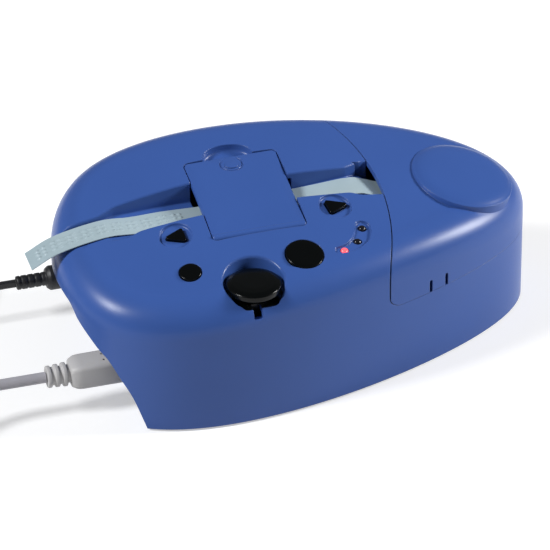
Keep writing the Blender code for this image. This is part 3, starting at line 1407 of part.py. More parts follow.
def build_mechanism():
    across = (FRAME_FRONT_Y[0] - OVERRUN, FRAME_BACK_Y[1] + OVERRUN)
    line = Vector(DRIVE_LEAN_SHARES).normalized()
    facing = math.atan2(line.y, line.x)
    feed = Vector((FEED_X, FEED_Z))
    idler = feed + line * (GEAR_MODULE * (FEED_TEETH + IDLER_TEETH) / 2 + GEAR_SPACE)
    motor = idler + line * (GEAR_MODULE * (IDLER_TEETH + PINION_TEETH) / 2 + GEAR_SPACE)
    depth = (FRAME_FRONT_Y[0], FRAME_BACK_Y[1])
    frame = box("mechanism_frame", FRAME_X, depth, FRAME_Z)
    inner = (FRAME_FRONT_Y[1], FRAME_BACK_Y[0])
    open_x = (FRAME_X[0] - OVERRUN, FRAME_X[1] + OVERRUN)
    cut(frame, box("frame_space", open_x, inner, (FRAME_FLOOR_TOP, HIGH), True))
    step = ((FRAME_FRONT_STEP_X, FRAME_X[1] + OVERRUN), (across[0], inner[0] + GAP))
    cut(frame, box("frame_step", *step, (FRAME_FRONT_STEP_Z, HIGH), True))
    bores = [y_rod("feed_bore", *feed, across, FEED_BORE, True)]
    bores.append(y_rod("motor_bore", *motor, (inner[0] + GAP, across[1]), MOTOR_BORE + GAP, True))
    cut(frame, gather("frame_bores", bores))
    pin = (FRAME_BACK_Y[0] + GAP, SHAFT_END_Y)
    join(frame, y_rod("idler_pin", *idler, pin, IDLER_PIN_RADIUS, True))
    colour(frame, STEEL)
    roller = y_rod("feed_roller", *feed, FEED_Y, FEED_RADIUS, False, 20)
    shaft = (SHAFT_START_Y, SHAFT_END_Y)
    join(roller, y_rod("feed_shaft", *feed, shaft, FEED_SHAFT_RADIUS, True))
    pivot(roller, (FEED_X, 0.0, FEED_Z))
    colour(roller, RUBBER)
    bore_y = (GEAR_Y[0] - OVERRUN, GEAR_Y[1] + OVERRUN)
    for name, centre, teeth, tooth_faces, bore in (
        ("roller_gear", feed, FEED_TEETH, False, FEED_BORE),
        ("idler_gear", idler, IDLER_TEETH, True, IDLER_BORE),
    ):
        gear = side_prism(name, *gear_outline(centre, teeth, facing, tooth_faces), GEAR_Y)
        cut(gear, y_rod(name + "_bore", *centre, bore_y, bore, True))
        pivot(gear, (centre.x, 0.0, centre.y))
        colour(gear, WHITE)
    pinion_teeth = gear_outline(motor, PINION_TEETH, facing, False)
    pinion = side_prism("motor_pinion", *pinion_teeth, GEAR_Y)
    shaft = (MOTOR_Y[1] - MOTOR_BORE_DEPTH + GAP, SHAFT_END_Y)
    join(pinion, y_rod("motor_shaft", *motor, shaft, MOTOR_SHAFT_RADIUS, True))
    pivot(pinion, (motor.x, 0.0, motor.y))
    colour(pinion, BRASS)
    body = y_rod("stepper_motor", *motor, MOTOR_Y, MOTOR_RADIUS, False, ROUND_STEPS)
    sunk = (MOTOR_Y[1] - MOTOR_BORE_DEPTH, MOTOR_Y[1] + OVERRUN)
    cut(body, y_rod("motor_sink", *motor, sunk, MOTOR_BORE, True))
    colour(body, STEEL)
    pinch = y_rod("pinch_roller", FEED_X, PINCH_Z, PINCH_ROLLER_Y, PINCH_RADIUS)
    ends = (PINCH_EAR_Y[0] + GAP, PINCH_EAR_BACK_Y[1] - GAP)
    join(pinch, y_rod("pinch_pin", FEED_X, PINCH_Z, ends, PINCH_PIN_RADIUS, True))
    pivot(pinch, (FEED_X, 0.0, PINCH_Z))
    colour(pinch, RUBBER)
    places = [(x, y) for x in COMB_PINS_X for y in COMB_PINS_Y]
    die = box("emboss_die", DIE_X, DIE_Y, DIE_Z)
    through = (DIE_Z[0] - OVERRUN, DIE_Z[1] + OVERRUN)
    holes = [rod(f"die_hole_{i}", (*place, through[0]), (*place, through[1]), COMB_PIN_BORE, True, 8)
             for i, place in enumerate(places)]
    cut(die, gather("die_holes", holes))
    colour(die, BRASS)
    plate_x = (DIE_X[0] + COMB_PLATE_INSET, DIE_X[1] - COMB_PLATE_INSET)
    plate_y = (DIE_Y[0] + COMB_PLATE_INSET, DIE_Y[1] - COMB_PLATE_INSET)
    comb = box("pin_comb", plate_x, plate_y, COMB_PLATE_Z)
    low = COMB_PLATE_Z[0] + GAP
    pins = [rod(f"comb_pin_{i}", (*place, low), (*place, COMB_PIN_TOP), COMB_PIN_RADIUS, True, 8)
            for i, place in enumerate(places)]
    join(comb, gather("comb_pins", pins))
    stem = (sum(DIE_X) / 2, sum(DIE_Y) / 2)
    join(comb, rod("comb_stem", (*stem, COMB_STEM_END), (*stem, low), COMB_STEM_RADIUS, True))
    colour(comb, STEEL)
    coil = box("emboss_solenoid", SOLENOID_X, SOLENOID_Y, SOLENOID_Z)
    sink = ((*stem, SOLENOID_Z[1] - SOLENOID_BORE_DEPTH), (*stem, SOLENOID_Z[1] + OVERRUN))
    cut(coil, rod("solenoid_bore", *sink, SOLENOID_BORE, True))
    colour(coil, DARK_GREY)
    anvil = box("anvil", DIE_X, ANVIL_Y, (ANVIL_BOTTOM, HIGH))
    cut(anvil, skin("anvil_limit", WALL + GAP), "INTERSECT")
    colour(anvil, STEEL)


def build_cutter():
    knob_frame = Matrix.Translation((KNOB_X, KNOB_Y, 0.0))
    edge = KNOB_UNDERSIDE + KNOB_EDGE_HEIGHT
    top = [(r, edge + z) for r, z in cap_profile(KNOB_RADIUS, KNOB_RISE, KEY_ROUND, 0.0)[:-2]]
    profile = top + [(KNOB_RADIUS, KNOB_UNDERSIDE), (KNOB_STEM_RADIUS, KNOB_UNDERSIDE)]
    profile += [(KNOB_STEM_RADIUS, KNOB_SHOULDER), (KNOB_TIP_RADIUS, KNOB_SHOULDER)]
    profile += [(KNOB_TIP_RADIUS, KNOB_TIP), (0.0, KNOB_TIP)]
    colour(turned("cut_button", profile, knob_frame), BLACK)
    ring = [(SPRING_RADII[0], SPRING_Z[1]), (SPRING_RADII[1], SPRING_Z[1])]
    ring += [(SPRING_RADII[1], SPRING_Z[0]), (SPRING_RADII[0], SPRING_Z[0])]
    colour(turned("cut_spring", ring, knob_frame, False, 16, True), STEEL)
    rocker = box("cut_rocker", ROCKER_X, ROCKER_Y, ROCKER_Z)
    pad_z = (ROCKER_Z[0] + GAP / 2, ROCKER_Z[1])
    pad_x = (ROCKER_PAD_X[0] + GAP, ROCKER_PAD_X[1])
    pad_y = (ROCKER_PAD_Y[0] + GAP, ROCKER_PAD_Y[1])
    ends = [(x, ROCKER_PIVOT_Y, ROCKER_PIVOT_Z) for x in ROCKER_X]
    hub = rod("rocker_hub", *ends, ROCKER_HUB_RADIUS, True, 16)
    join(rocker, box("rocker_pad", pad_x, pad_y, pad_z, True), hub)
    ends = [(x, ROCKER_PIVOT_Y, ROCKER_PIVOT_Z) for x in (-WIDE, WIDE)]
    cut(rocker, rod("rocker_bore", *ends, ROCKER_PIN_BORE, True))
    pivot(rocker, (sum(ROCKER_X) / 2, ROCKER_PIVOT_Y, ROCKER_PIVOT_Z))
    colour(rocker, STEEL)
    ends = [(x, ROCKER_PIVOT_Y, ROCKER_PIVOT_Z) for x in (EAR_LEFT_X[0], EAR_RIGHT_X[1])]
    colour(rod("rocker_pin", *ends, ROCKER_PIN_RADIUS), STEEL)
    low = ROCKER_Z[1] + GAP
    ys = [BLADE_FOOT_Y[0], BLADE_FOOT_Y[1], BLADE_FOOT_Y[1], BLADE_Y[1], BLADE_Y[1]]
    zs = [low, low, BLADE_WAIST, BLADE_WAIST + OVERRUN, BLADE_TOP]
    ys += [BLADE_Y[0], BLADE_Y[0], BLADE_FOOT_Y[0]]
    zs += [BLADE_TOP, BLADE_WAIST + OVERRUN, BLADE_WAIST]
    turn = Matrix(((0, 0, 1, 0), (1, 0, 0, 0), (0, 1, 0, 0), (0, 0, 0, 1)))
    blade = prism("cutter_blade", list(zip(ys, zs)), *BLADE_X, turn)
    pivot(blade, (sum(ROCKER_X) / 2, ROCKER_PIVOT_Y, ROCKER_PIVOT_Z))
    colour(blade, STEEL)


def build_main_board():
    board = box("main_board", MAIN_BOARD_X, MAIN_BOARD_Y, MAIN_BOARD_Z)
    chip_z = (MAIN_BOARD_Z[0] + GAP, CHIP_TOP)
    join(board, box("chip", CHIP_X, CHIP_Y, chip_z, True))
    join(board, box("power_chip", POWER_CHIP_X, CHIP_Y, chip_z, True))
    colour(board, BOARD_GREEN)


build_tape()
build_mechanism()
build_cutter()
build_main_board()


def smooth_route(route, step):
    """Points at an even step along a smooth curve through hand-chosen points."""
    places = np.array(route)
    padded = np.vstack([2 * places[0] - places[1], places, 2 * places[-1] - places[-2]])
    t = np.arange(12)[:, None] / 12
    fine = []
    for a, b, c, d in zip(padded, padded[1:], padded[2:], padded[3:]):
        fine.append(
            (2 * b + (c - a) * t + (2 * a - 5 * b + 4 * c - d) * t**2 + (3 * b - a - 3 * c + d) * t**3) / 2
        )
    fine = np.vstack([*fine, places[-1:]])
    run = np.concatenate([[0.0], np.cumsum(np.linalg.norm(np.diff(fine, axis=0), axis=1))])
    count = max(2, round(float(run[-1]) / step) + 1)
    stops = np.linspace(0.0, run[-1], count)
    return np.stack([np.interp(stops, run, fine[:, k]) for k in range(3)], 1)


def coil_route(centre, radii, pitch, layer_turns, turns, base, start_degrees):
    """A wound cord in four layers, which spiral in and out by turns and drop where they turn back."""
    points = []
    last = round(turns * COIL_LOOP_POINTS)
    for k in range(last + 1):
        turn = k / COIL_LOOP_POINTS
        layer = min(3, int(turn / layer_turns))
        share = turn / layer_turns - layer
        if layer % 2 == 0:
            radius = radii[1] - (radii[1] - radii[0]) * share
        else:
            radius = radii[0] + (radii[1] - radii[0]) * share
        height = base + 3 * pitch
        for step in (1, 2, 3):
            u = (turn - step * layer_turns) / COIL_STEP_TURNS + UNIT_SHARE / 2
            u = max(0.0, min(1.0, u))
            height -= pitch * u * u * (3 - 2 * u)
        angle = math.radians(start_degrees) - 2 * math.pi * turn
        points.append(
            (centre[0] + radius * math.cos(angle), centre[1] + radius * math.sin(angle), height)
        )
    return points


def self_gap(points, radius):
    """The least space between two stretches of the same cord more than half a turn apart."""
    places = np.array(points)
    apart = np.linalg.norm(places[:, None] - places[None], axis=2)
    order = np.arange(len(places))
    far = np.abs(order[:, None] - order[None]) > COIL_LOOP_POINTS // 2
    return float(apart[far].min()) - 2 * radius


def build_cord(side, free, coil, tail, radius):
    cord = tube(side + "_cord", smooth_route(free, FREE_CORD_STEP), radius, 2)
    wound = coil_route(*coil)
    print(side, "coil self gap in mm:", round(self_gap(wound, radius) * 1000, 2))
    rest = tube(side + "_coil", wound + list(tail), radius, 1)
    kind = GREY if side == "usb" else BLACK
    colour(cord, kind)
    colour(rest, kind)


def section(width, height, corner):
    return rectangle((-width / 2, width / 2), (-height / 2, height / 2), corner)


def body_between(name, place, axis, sections, tool=False):
    """A loft of flat sections at distances along an axis."""
    rings = [[(x, y, run) for x, y in outline] for run, outline in sections]
    shape = loft(name, rings, tool)
    shape.data.transform(frame_at(place, axis))
    return shape


def build_plugs():
    length = USB_OVERMOULD_X[1] - USB_OVERMOULD_X[0]
    straight = USB_OVERMOULD_X[1] - USB_TAPER_X
    full = section(*USB_OVERMOULD, USB_OVERMOULD_CORNER)
    small = [size * USB_TAPER_SHARE for size in USB_OVERMOULD]
    tapered = section(*small, USB_OVERMOULD_CORNER)
    at = (USB_OVERMOULD_X[1], USB_Y, USB_Z)
    plug = body_between("usb_plug", at, (-1.0, 0.0, 0.0), [(0.0, full), (straight, full), (length, tapered)])
    across = (USB_OVERMOULD_X[1] - OVERRUN, USB_SHELL_TIP)
    ys = (USB_Y - USB_SHELL[0] / 2, USB_Y + USB_SHELL[0] / 2)
    zs = (USB_Z - USB_SHELL[1] / 2, USB_Z + USB_SHELL[1] / 2)
    join(plug, box("usb_plug_shell", across, ys, zs, True))
    reach = USB_OVERMOULD_X[0] - USB_SLEEVE_END
    rib = reach / (2 * USB_RIB_COUNT)
    profile = [(0.0, reach)]
    for k in range(USB_RIB_COUNT):
        high = reach - 2 * k * rib
        profile += [(USB_RIB_RADIUS, high), (USB_RIB_RADIUS, high - rib)]
        profile += [(USB_RIB_NECK, high - rib), (USB_RIB_NECK, high - 2 * rib)]
    profile[-1] = (USB_RIB_NECK, -OVERRUN)
    profile.append((0.0, -OVERRUN))
    frame = frame_at((USB_OVERMOULD_X[0], USB_Y, USB_Z), (-1.0, 0.0, 0.0))
    join(plug, turned("usb_sleeve", profile, frame, True, 12))
    colour(plug, GREY)
    start = DC_BARREL_TIP
    stops = [start - x for x in (DC_HEAD_X[1], DC_HEAD_NECK_X, DC_HEAD_X[0], DC_BOOT_END)]
    chamfer = DC_HEAD_NECK_X - DC_HEAD_X[0]
    profile = [(0.0, stops[3]), (DC_BOOT_RADIUS, stops[3]), (DC_BOOT_RADIUS, stops[2])]
    profile += [(DC_HEAD_RADIUS - chamfer, stops[2]), (DC_HEAD_RADIUS, stops[1])]
    profile += [(DC_HEAD_RADIUS, stops[0]), (DC_BARREL_RADIUS, stops[0])]
    profile += [(DC_BARREL_RADIUS, 0.0), (0.0, 0.0)]
    frame = frame_at((start, DC_Y, DC_Z), (-1.0, 0.0, 0.0))
    colour(turned("dc_plug", profile, frame, False, 20), BLACK)
    length = HOST_PLUG_X[1] - HOST_BODY_END
    at = (HOST_PLUG_X[1], HOST_PLUG_Y, HOST_PLUG_Z)
    outline = section(*HOST_BODY, HOST_CORNER)
    host = body_between("usb_host_plug", at, (-1.0, 0.0, 0.0), [(0.0, outline), (length, outline)])
    across = (HOST_PLUG_X[0], HOST_BODY_END + OVERRUN)
    ys = (HOST_PLUG_Y - HOST_SHELL[0] / 2, HOST_PLUG_Y + HOST_SHELL[0] / 2)
    zs = (HOST_PLUG_Z - HOST_SHELL[1] / 2, HOST_PLUG_Z + HOST_SHELL[1] / 2)
    join(host, box("host_shell", across, ys, zs, True))
    colour(host, GREY)
    adapter = prism("power_adapter", rectangle(ADAPTER_X, ADAPTER_Y, ADAPTER_CORNER), *ADAPTER_Z)
    middle = sum(ADAPTER_Z) / 2
    for i, y in enumerate(PRONG_Y):
        ys = (y - PRONG_HALF[0], y + PRONG_HALF[0])
        zs = (middle - PRONG_HALF[1], middle + PRONG_HALF[1])
        join(adapter, box(f"prong_{i}", (BLADE_PRONG_END, ADAPTER_X[0] + OVERRUN), ys, zs, True))
    colour(adapter, BLACK)


build_cord(
    "usb",
    USB_FREE_ROUTE,
    (
        USB_COIL_AT,
        USB_COIL_RADII,
        USB_COIL_PITCH,
        USB_COIL_LAYER_TURNS,
        USB_COIL_TURNS,
        USB_COIL_BASE,
        -USB_COIL_START_DEGREES,
    ),
    USB_TAIL,
    USB_CORD_RADIUS,
)
build_cord(
    "dc",
    DC_FREE_ROUTE,
    (
        DC_COIL_AT,
        DC_COIL_RADII,
        DC_COIL_PITCH,
        DC_COIL_LAYER_TURNS,
        DC_COIL_TURNS,
        DC_COIL_BASE,
        DC_COIL_START_DEGREES,
    ),
    DC_TAIL,
    DC_CORD_RADIUS,
)
build_plugs()

# The origin lies under the middle of everything but the cords
SHIFT_X = -(LABEL_X[0] + HALF_LENGTH) / 2
for moved in list(LABELER.objects) + list(TOOLS.objects):
    moved.location.x += SHIFT_X
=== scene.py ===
"""The look of the braille labeler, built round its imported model.

Lengths are in metres and Z is up. The housing's numbers are counted from its own middle, as in the
part's source, and every mesh is moved by SHIFT into the model's frame when it is made.
"""

import math

import bmesh
import bpy
import numpy as np
from mathutils import Matrix, Vector, interpolate
from mathutils.bvhtree import BVHTree


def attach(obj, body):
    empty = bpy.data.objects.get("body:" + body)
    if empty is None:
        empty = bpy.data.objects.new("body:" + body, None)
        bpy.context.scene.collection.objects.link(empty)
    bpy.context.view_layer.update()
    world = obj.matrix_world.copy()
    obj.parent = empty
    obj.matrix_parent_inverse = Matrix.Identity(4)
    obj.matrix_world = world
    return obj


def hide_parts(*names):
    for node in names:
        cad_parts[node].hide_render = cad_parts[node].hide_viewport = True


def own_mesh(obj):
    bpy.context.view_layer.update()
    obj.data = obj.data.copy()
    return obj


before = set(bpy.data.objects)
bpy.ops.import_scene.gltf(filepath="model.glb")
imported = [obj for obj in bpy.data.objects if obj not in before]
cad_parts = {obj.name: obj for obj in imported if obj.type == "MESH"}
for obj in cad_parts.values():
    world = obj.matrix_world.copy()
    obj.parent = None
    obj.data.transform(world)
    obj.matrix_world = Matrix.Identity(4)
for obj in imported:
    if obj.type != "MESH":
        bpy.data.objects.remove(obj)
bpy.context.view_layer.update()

SCENE = bpy.context.scene
SHIFT = Vector((0.00495, 0.0, 0.0))

# How far cutters reach past what they cut
HIGH = 0.09
WIDE = 0.15
OVERRUN = 0.005

# Camera
CAMERA_AT = (-0.37478, -1.30619, 0.90559)
CAMERA_RIGHT = (0.95858, -0.28475, -0.00598)
CAMERA_UP = (0.15787, 0.51374, 0.84330)

# Ways of making
EDGE_GAIN = 6.0  # how fast the mask of an edge rises
SIDE_SHARE = 0.48  # of a side, what the round of a corner may take
LEAST_BEND = 0.05  # a corner that turns less, in radians, isn't rounded
LEAST_MITRE = 0.5  # holds back how far a sharp corner grows
TINY = 1e-9
SKIN_REACH = 0.00003  # a point this near the uncut skin still lies on it
SAME_FACING = 0.8  # the least cosine between a face and the skin it follows
LIP_OVER = 0.00003  # lifts the end of a lip clear of the skin, for each radian of its roll

# Housing
HALF_LENGTH = 0.0993
HALF_DEPTH = 0.0570
OUTLINE_SHARES = (
    (1.06, 0.156), (0.89, 0.716), (0.331, 0.93), (-0.349, 1.042), (-0.844, 0.905),
    (-1.042, 0.102), (-0.955, -0.791), (-0.4985, -1.086), (0.2226, -0.858), (0.873, -0.344),
)
FOOT_PROUD = 0.001
CROWN_HEIGHT = 0.06995
CROWN_TILT_SHARE = 0.19
CROWN_RIDGE_X = -0.0161
CROWN_RADIUS_X = 0.3237
CROWN_RADIUS_Y = 0.2836
SHOULDER_RADIUS = 0.014
WALL = 0.0024
LINER = 0.002
LEFT_LINER_X = (-0.084, -0.0392)
LEFT_LINER_Y = (-0.0083, 0.0150)
RIGHT_LINERS = (((0.0012, 0.042), (-0.0070, 0.0112)), ((0.0215, 0.042), (-0.0090, 0.0150)))
NOTCH_LINER = 0.0035
UNDERCUT_X = (-0.0755, -0.080, -0.084, -0.088, -0.091, -0.096, -0.0985, -0.1093)
UNDERCUT_Z = (0.001, 0.014, 0.022, 0.0295, 0.033, 0.0405, 0.0462, 0.0500)
RELIEF_RADIUS = 0.0058
RELIEF_END = -0.0757

# Lid
SEAM_AT = (-0.070, -0.002)
SEAM_RADIUS = 0.105
SEAM_CORNER = 0.005
SEAM_LEVEL = 0.034
SEAM_GAP = 0.0004
LEVEL_GAP_SHARE = 0.7
DOME_AT = (0.072, 0.0035, 0.060)
DOME_LEAN = (0.224, -0.129, 1.0)
DOME_RADIUS = 0.021
DOME_RISE = 0.0023
DOME_DEPTH = 0.0065
DOME_EDGE = 0.0004
TAB_SLOTS = ((0.0457, -0.0373), (0.0533, -0.0339))
TAB_SLOT_HALF = 0.00065
TAB_SLOT_Z = (0.0290, 0.0395)
TAB_SLOT_REACH = 0.004
HINGE_AT = (0.0731, 0.0459, 0.034)
HINGE_LEAN = (-0.93, 0.37, 0.0)
KNUCKLE_RADIUS = 0.0026
HINGE_BORE = 0.0015
WEB_REACH = 0.0042

# Head cover, tape path and channels
COVER_X = (-0.0396, -0.0006)
COVER_Y = (-0.0210, 0.0250)
COVER_GAP = 0.0004
COVER_CORNER = 0.0025
COVER_FLOOR = 0.056
COVER_AXIS = (-0.0192, 0.06363)
COVER_THICK = 0.0024
COVER_EDGE = 0.0005
NOSE_RADIUS = 0.0019
PIN_RADIUS = 0.0007
PIN_PROUD = 0.0027
EAR_X = (-0.0062, -0.0018)
EAR_FOOT = 0.0636
EARS = (((-0.0068, -0.0054), 0.0667), ((0.0084, 0.0098), 0.0695))
PINCH_AT = (-0.004, 0.0649)
PINCH_BORE = 0.0008
NOTCH_X = -0.0206
NOTCH_RADII = (0.0103, 0.0075, 0.0062)
NOTCH_DEPTH = 0.0036
NOTCH_FOOT = 0.0016
MARK_AT = (-0.0206, 0.0193)
MARK_GROOVE = ((0.0040, 0.001), (0.0040, -0.0004), (0.0049, -0.0004), (0.0049, 0.001))
MARK_DOME = (0.0031, 0.0031, 0.0004)
TAPE_Y = (-0.00485, 0.00785)
TAPE_THICKNESS = 0.0003
TAPE_CLEAR = TAPE_THICKNESS / 2 + 0.0003
LABEL_X = (-0.1092, -0.0975, -0.079, -0.066, -0.053, -0.0370)
LABEL_Z = (0.0537, 0.0595, 0.0632, 0.0627, 0.0629, 0.06236)
SUPPLY_X = (-0.0360, 0.0035, 0.0236, 0.0300, 0.0357)
SUPPLY_Z = (0.0624, 0.0638, 0.0649, 0.0635, 0.0612)
LEFT_FRONT = (
    (-0.104, -0.092, -0.086, -0.080, -0.075, -0.071, -0.0655, -0.0395),
    (-0.0084, -0.0073, -0.0056, -0.0060, -0.0078, -0.0078, -0.0060, -0.0060),
)
LEFT_BACK = ((-0.104, -0.0785, -0.072, -0.0395), (0.0083, 0.0083, 0.0110, 0.0130))
RIGHT_FRONT = ((-0.0010, 0.009, 0.022, 0.026, 0.042), (-0.0055, -0.0055, -0.0053, -0.0070, -0.0070))
RIGHT_BACK = ((-0.0010, 0.024, 0.032, 0.042), (0.0084, 0.0094, 0.0129, 0.0129))
RIGHT_SPAN = (-0.006, 0.042)
CHANNEL_FOOT = 0.0005
CHANNEL_LEAST = 0.0006
FOOT_SHARE = 0.3  # of a channel's depth, what the round at its foot may take
ROLL_SHARE = 0.55  # of a channel's depth, what its lip may take
CORNER_HOLE = ((0.0275, 0.0125), (0.042, 0.0008), (0.042, 0.0125))
CORNER_FLOOR = 0.045
CELLS = 10
FIRST_CELL = -0.1050
CELL_PITCH = 0.0062
DOT_PITCH = 0.0025
DOT_RADIUS = 0.00085
DOT_RISE = 0.00045
REEL_AT = (0.066, 0.030)
ROLL_RADII = (0.0129, 0.0205)
FLANGE_PROFILE = (
    (0.0043, 0.01425), (0.0215, 0.01425), (0.0215, 0.01305), (0.0125, 0.01305), (0.0125, 0.0),
    (0.0043, 0.0),
)

# Knob, keys and lamps
CUT_AT = (-0.0296, -0.0442)
CUT_RADIUS = 0.012
CUT_FLOOR = 0.0513
CUT_FOOT = 0.0008
CUT_LIP = 0.0011
CUT_LEAST = 0.0024
CUT_SLOT_X = (-0.0328, -0.0292)
CUT_SLOT_FRONT = -0.062
CUT_SLOT_Z = 0.0475
SHADE_DISC_RADIUS = 0.0113
SHADE_DISC_BORE = 0.0038
KNOB_AT = (-0.0298, -0.0450)
KNOB_RADIUS = 0.01085
STEM_HOLE = 0.0034
STEM_HOLE_Z = (0.046, 0.056)
SPRING_RADIUS = 0.0047
SPRING_WIRE = 0.0003
SPRING_TURNS = 4
SPRING_LOW = 0.05205
SPRING_RISE = 0.00265
SET_AT = (-0.0064, -0.0359)
SET_RADIUS = 0.0076
RESET_AT = (-0.0523, -0.0336)
RESET_RADIUS = 0.00435
LEFT_BOARD_AT = (-0.0525, -0.0235)
RIGHT_BOARD_AT = (0.0053, -0.0248)
BACK_KEY = ((-0.0581, -0.0137), (-0.0492, -0.0181), (-0.0495, -0.0107))
BACK_DISH = (-0.0528, -0.0139)
FORWARD_KEY = ((0.0105, -0.0166), (0.0194, -0.0120), (0.0094, -0.0090))
FORWARD_DISH = (0.0131, -0.0126)
ARROW_CORNER = 0.0009
DISH_RADIUS = 0.0065
DISH_DEPTH = 0.0012
DISH_FOOT = 0.0006
POCKET_LIP = 0.0004
KEY_TOP = 0.0006
KEY_GAP = 0.0003
KEY_FLANGE = 0.0009
KEY_UNDER = (-0.0038, -0.0029)
ARROW_FLANGE = 0.0043
STEM_RADIUS = 0.001
STEM_END = -0.0085
LAMPS = ((0.0102, -0.0357), (0.0168, -0.0317), (0.0207, -0.0251))
LAMP_RADIUS = 0.0015
LAMP_GAP = 0.0002
LAMP_TOP = 0.0010
LAMP_EDGE = -0.0009
LAMP_END = -0.0080
LAMP_SLOT_DEPTH = 0.0010
LAMP_SLOT_FOOT = 0.0004
LAMP_ARC_AT = (0.0076, -0.0224)
LAMP_ARC_RADIUS = 0.0135
LAMP_ARC_DEGREES = (-88.0, -46.0, -34.0, -10.0)
LAMP_ARC_HALVES = (0.0019, 0.0028, 0.0031, 0.0031)

# Plugs and cords
LEFTWARDS = (-1.0, 0.0, 0.0)
USB_AT = (-0.027, 0.0174)
USB_SIZE = (0.0120, 0.0105)
USB_END = -0.1010
USB_FRONT = ((-0.0764, -0.0008), (-0.0768, -0.0002), (-0.0774, 0.0))
USB_TAPER = ((-0.0965, 1.0), (-0.0985, 0.97), (-0.1002, 0.86), (-0.1008, 0.80), (USB_END, 0.72))
DC_AT = (0.042, 0.018)
DC_HEAD = -0.0660
USB_CORD_RADIUS = 0.00225
STRAND_RADIUS = 0.00098
STRAND_APART = 0.00082
USB_FREE_ROUTE = (
    (-0.1106, -0.0270, 0.0174), (-0.1200, -0.0270, 0.0174), (-0.1310, -0.0270, 0.01736),
    (-0.1410, -0.0283, 0.0173), (-0.1505, -0.0322, 0.01725), (-0.1587, -0.0384, 0.0172),
)
USB_COIL = ((-0.1823, -0.0154), (0.0255, 0.0329), 0.00495, 1.5, 6.125, 0.00235, -45.0)
USB_TAIL = (
    (-0.1885, -0.0489, 0.00235), (-0.1945, -0.0489, 0.0029),
    (-0.2000, -0.0489, 0.0043), (-0.2050, -0.0489, 0.0043),
)
DC_FREE_ROUTE = (
    (-0.1066, 0.0420, 0.0180), (-0.1150, 0.0420, 0.0180), (-0.1240, 0.0420, 0.0174),
    (-0.1330, 0.0420, 0.0158), (-0.1415, 0.0420, 0.0145), (-0.1496, 0.0420, 0.01415),
)
DC_COIL = ((-0.150, 0.0696), (0.0195, 0.0276), 0.00405, 2.0, 8.0, 0.0020, -90.0)
DC_TAIL = (
    (-0.1590, 0.0420, 0.0020), (-0.1690, 0.0420, 0.0032),
    (-0.1795, 0.0420, 0.0050), (-0.1840, 0.0420, 0.0050),
)
FREE_STEP = 0.0045
TAIL_STEP = 0.0035
COIL_LAYERS = 4
LOOP_POINTS = 48
DROP_TURNS = 0.5
HOST_AT = (-0.0489, 0.0043)
HOST_SIZE = (0.0150, 0.0080)
HOST_STATIONS = (
    (-0.2053, -0.0010), (-0.2058, -0.0003), (-0.2066, 0.0), (-0.2332, 0.0), (-0.2340, -0.0006)
)
ADAPTER_X = (-0.2290, -0.1843)
ADAPTER_Y = (0.0270, 0.0570)
ADAPTER_Z = (0.0003, 0.0260)


def frame_of(place, right, back, up):
    """A frame at a place, from its three directions."""
    return Matrix.Translation(place) @ Matrix((right, back, up)).transposed().to_4x4()


def place_camera():
    """The photograph's view."""
    lens = bpy.data.cameras.new("camera")
    lens.sensor_width = 36.0
    lens.lens = 261.8
    lens.shift_x = -0.0483
    lens.shift_y = -0.0417
    lens.clip_start = 0.05
    lens.clip_end = 20.0
    camera = bpy.data.objects.new("camera", lens)
    right, up = Vector(CAMERA_RIGHT), Vector(CAMERA_UP)
    camera.matrix_world = frame_of(CAMERA_AT, right, up, right.cross(up))
    SCENE.collection.objects.link(camera)
    SCENE.camera = camera


place_camera()


class Value:
    """A socket in a finish, with arithmetic."""

    def __init__(self, finish, socket):
        self.finish = finish
        self.socket = socket

    def work(self, operation, first, second=0.0):
        return self.finish.node("Math", {"operation": operation}, {0: first, 1: second})

    def __add__(self, other):
        return self.work("ADD", self, other)

    def __sub__(self, other):
        return self.work("SUBTRACT", self, other)

    def __rsub__(self, other):
        return self.work("SUBTRACT", other, self)

    def __mul__(self, other):
        return self.work("MULTIPLY", self, other)

    __radd__ = __add__
    __rmul__ = __mul__


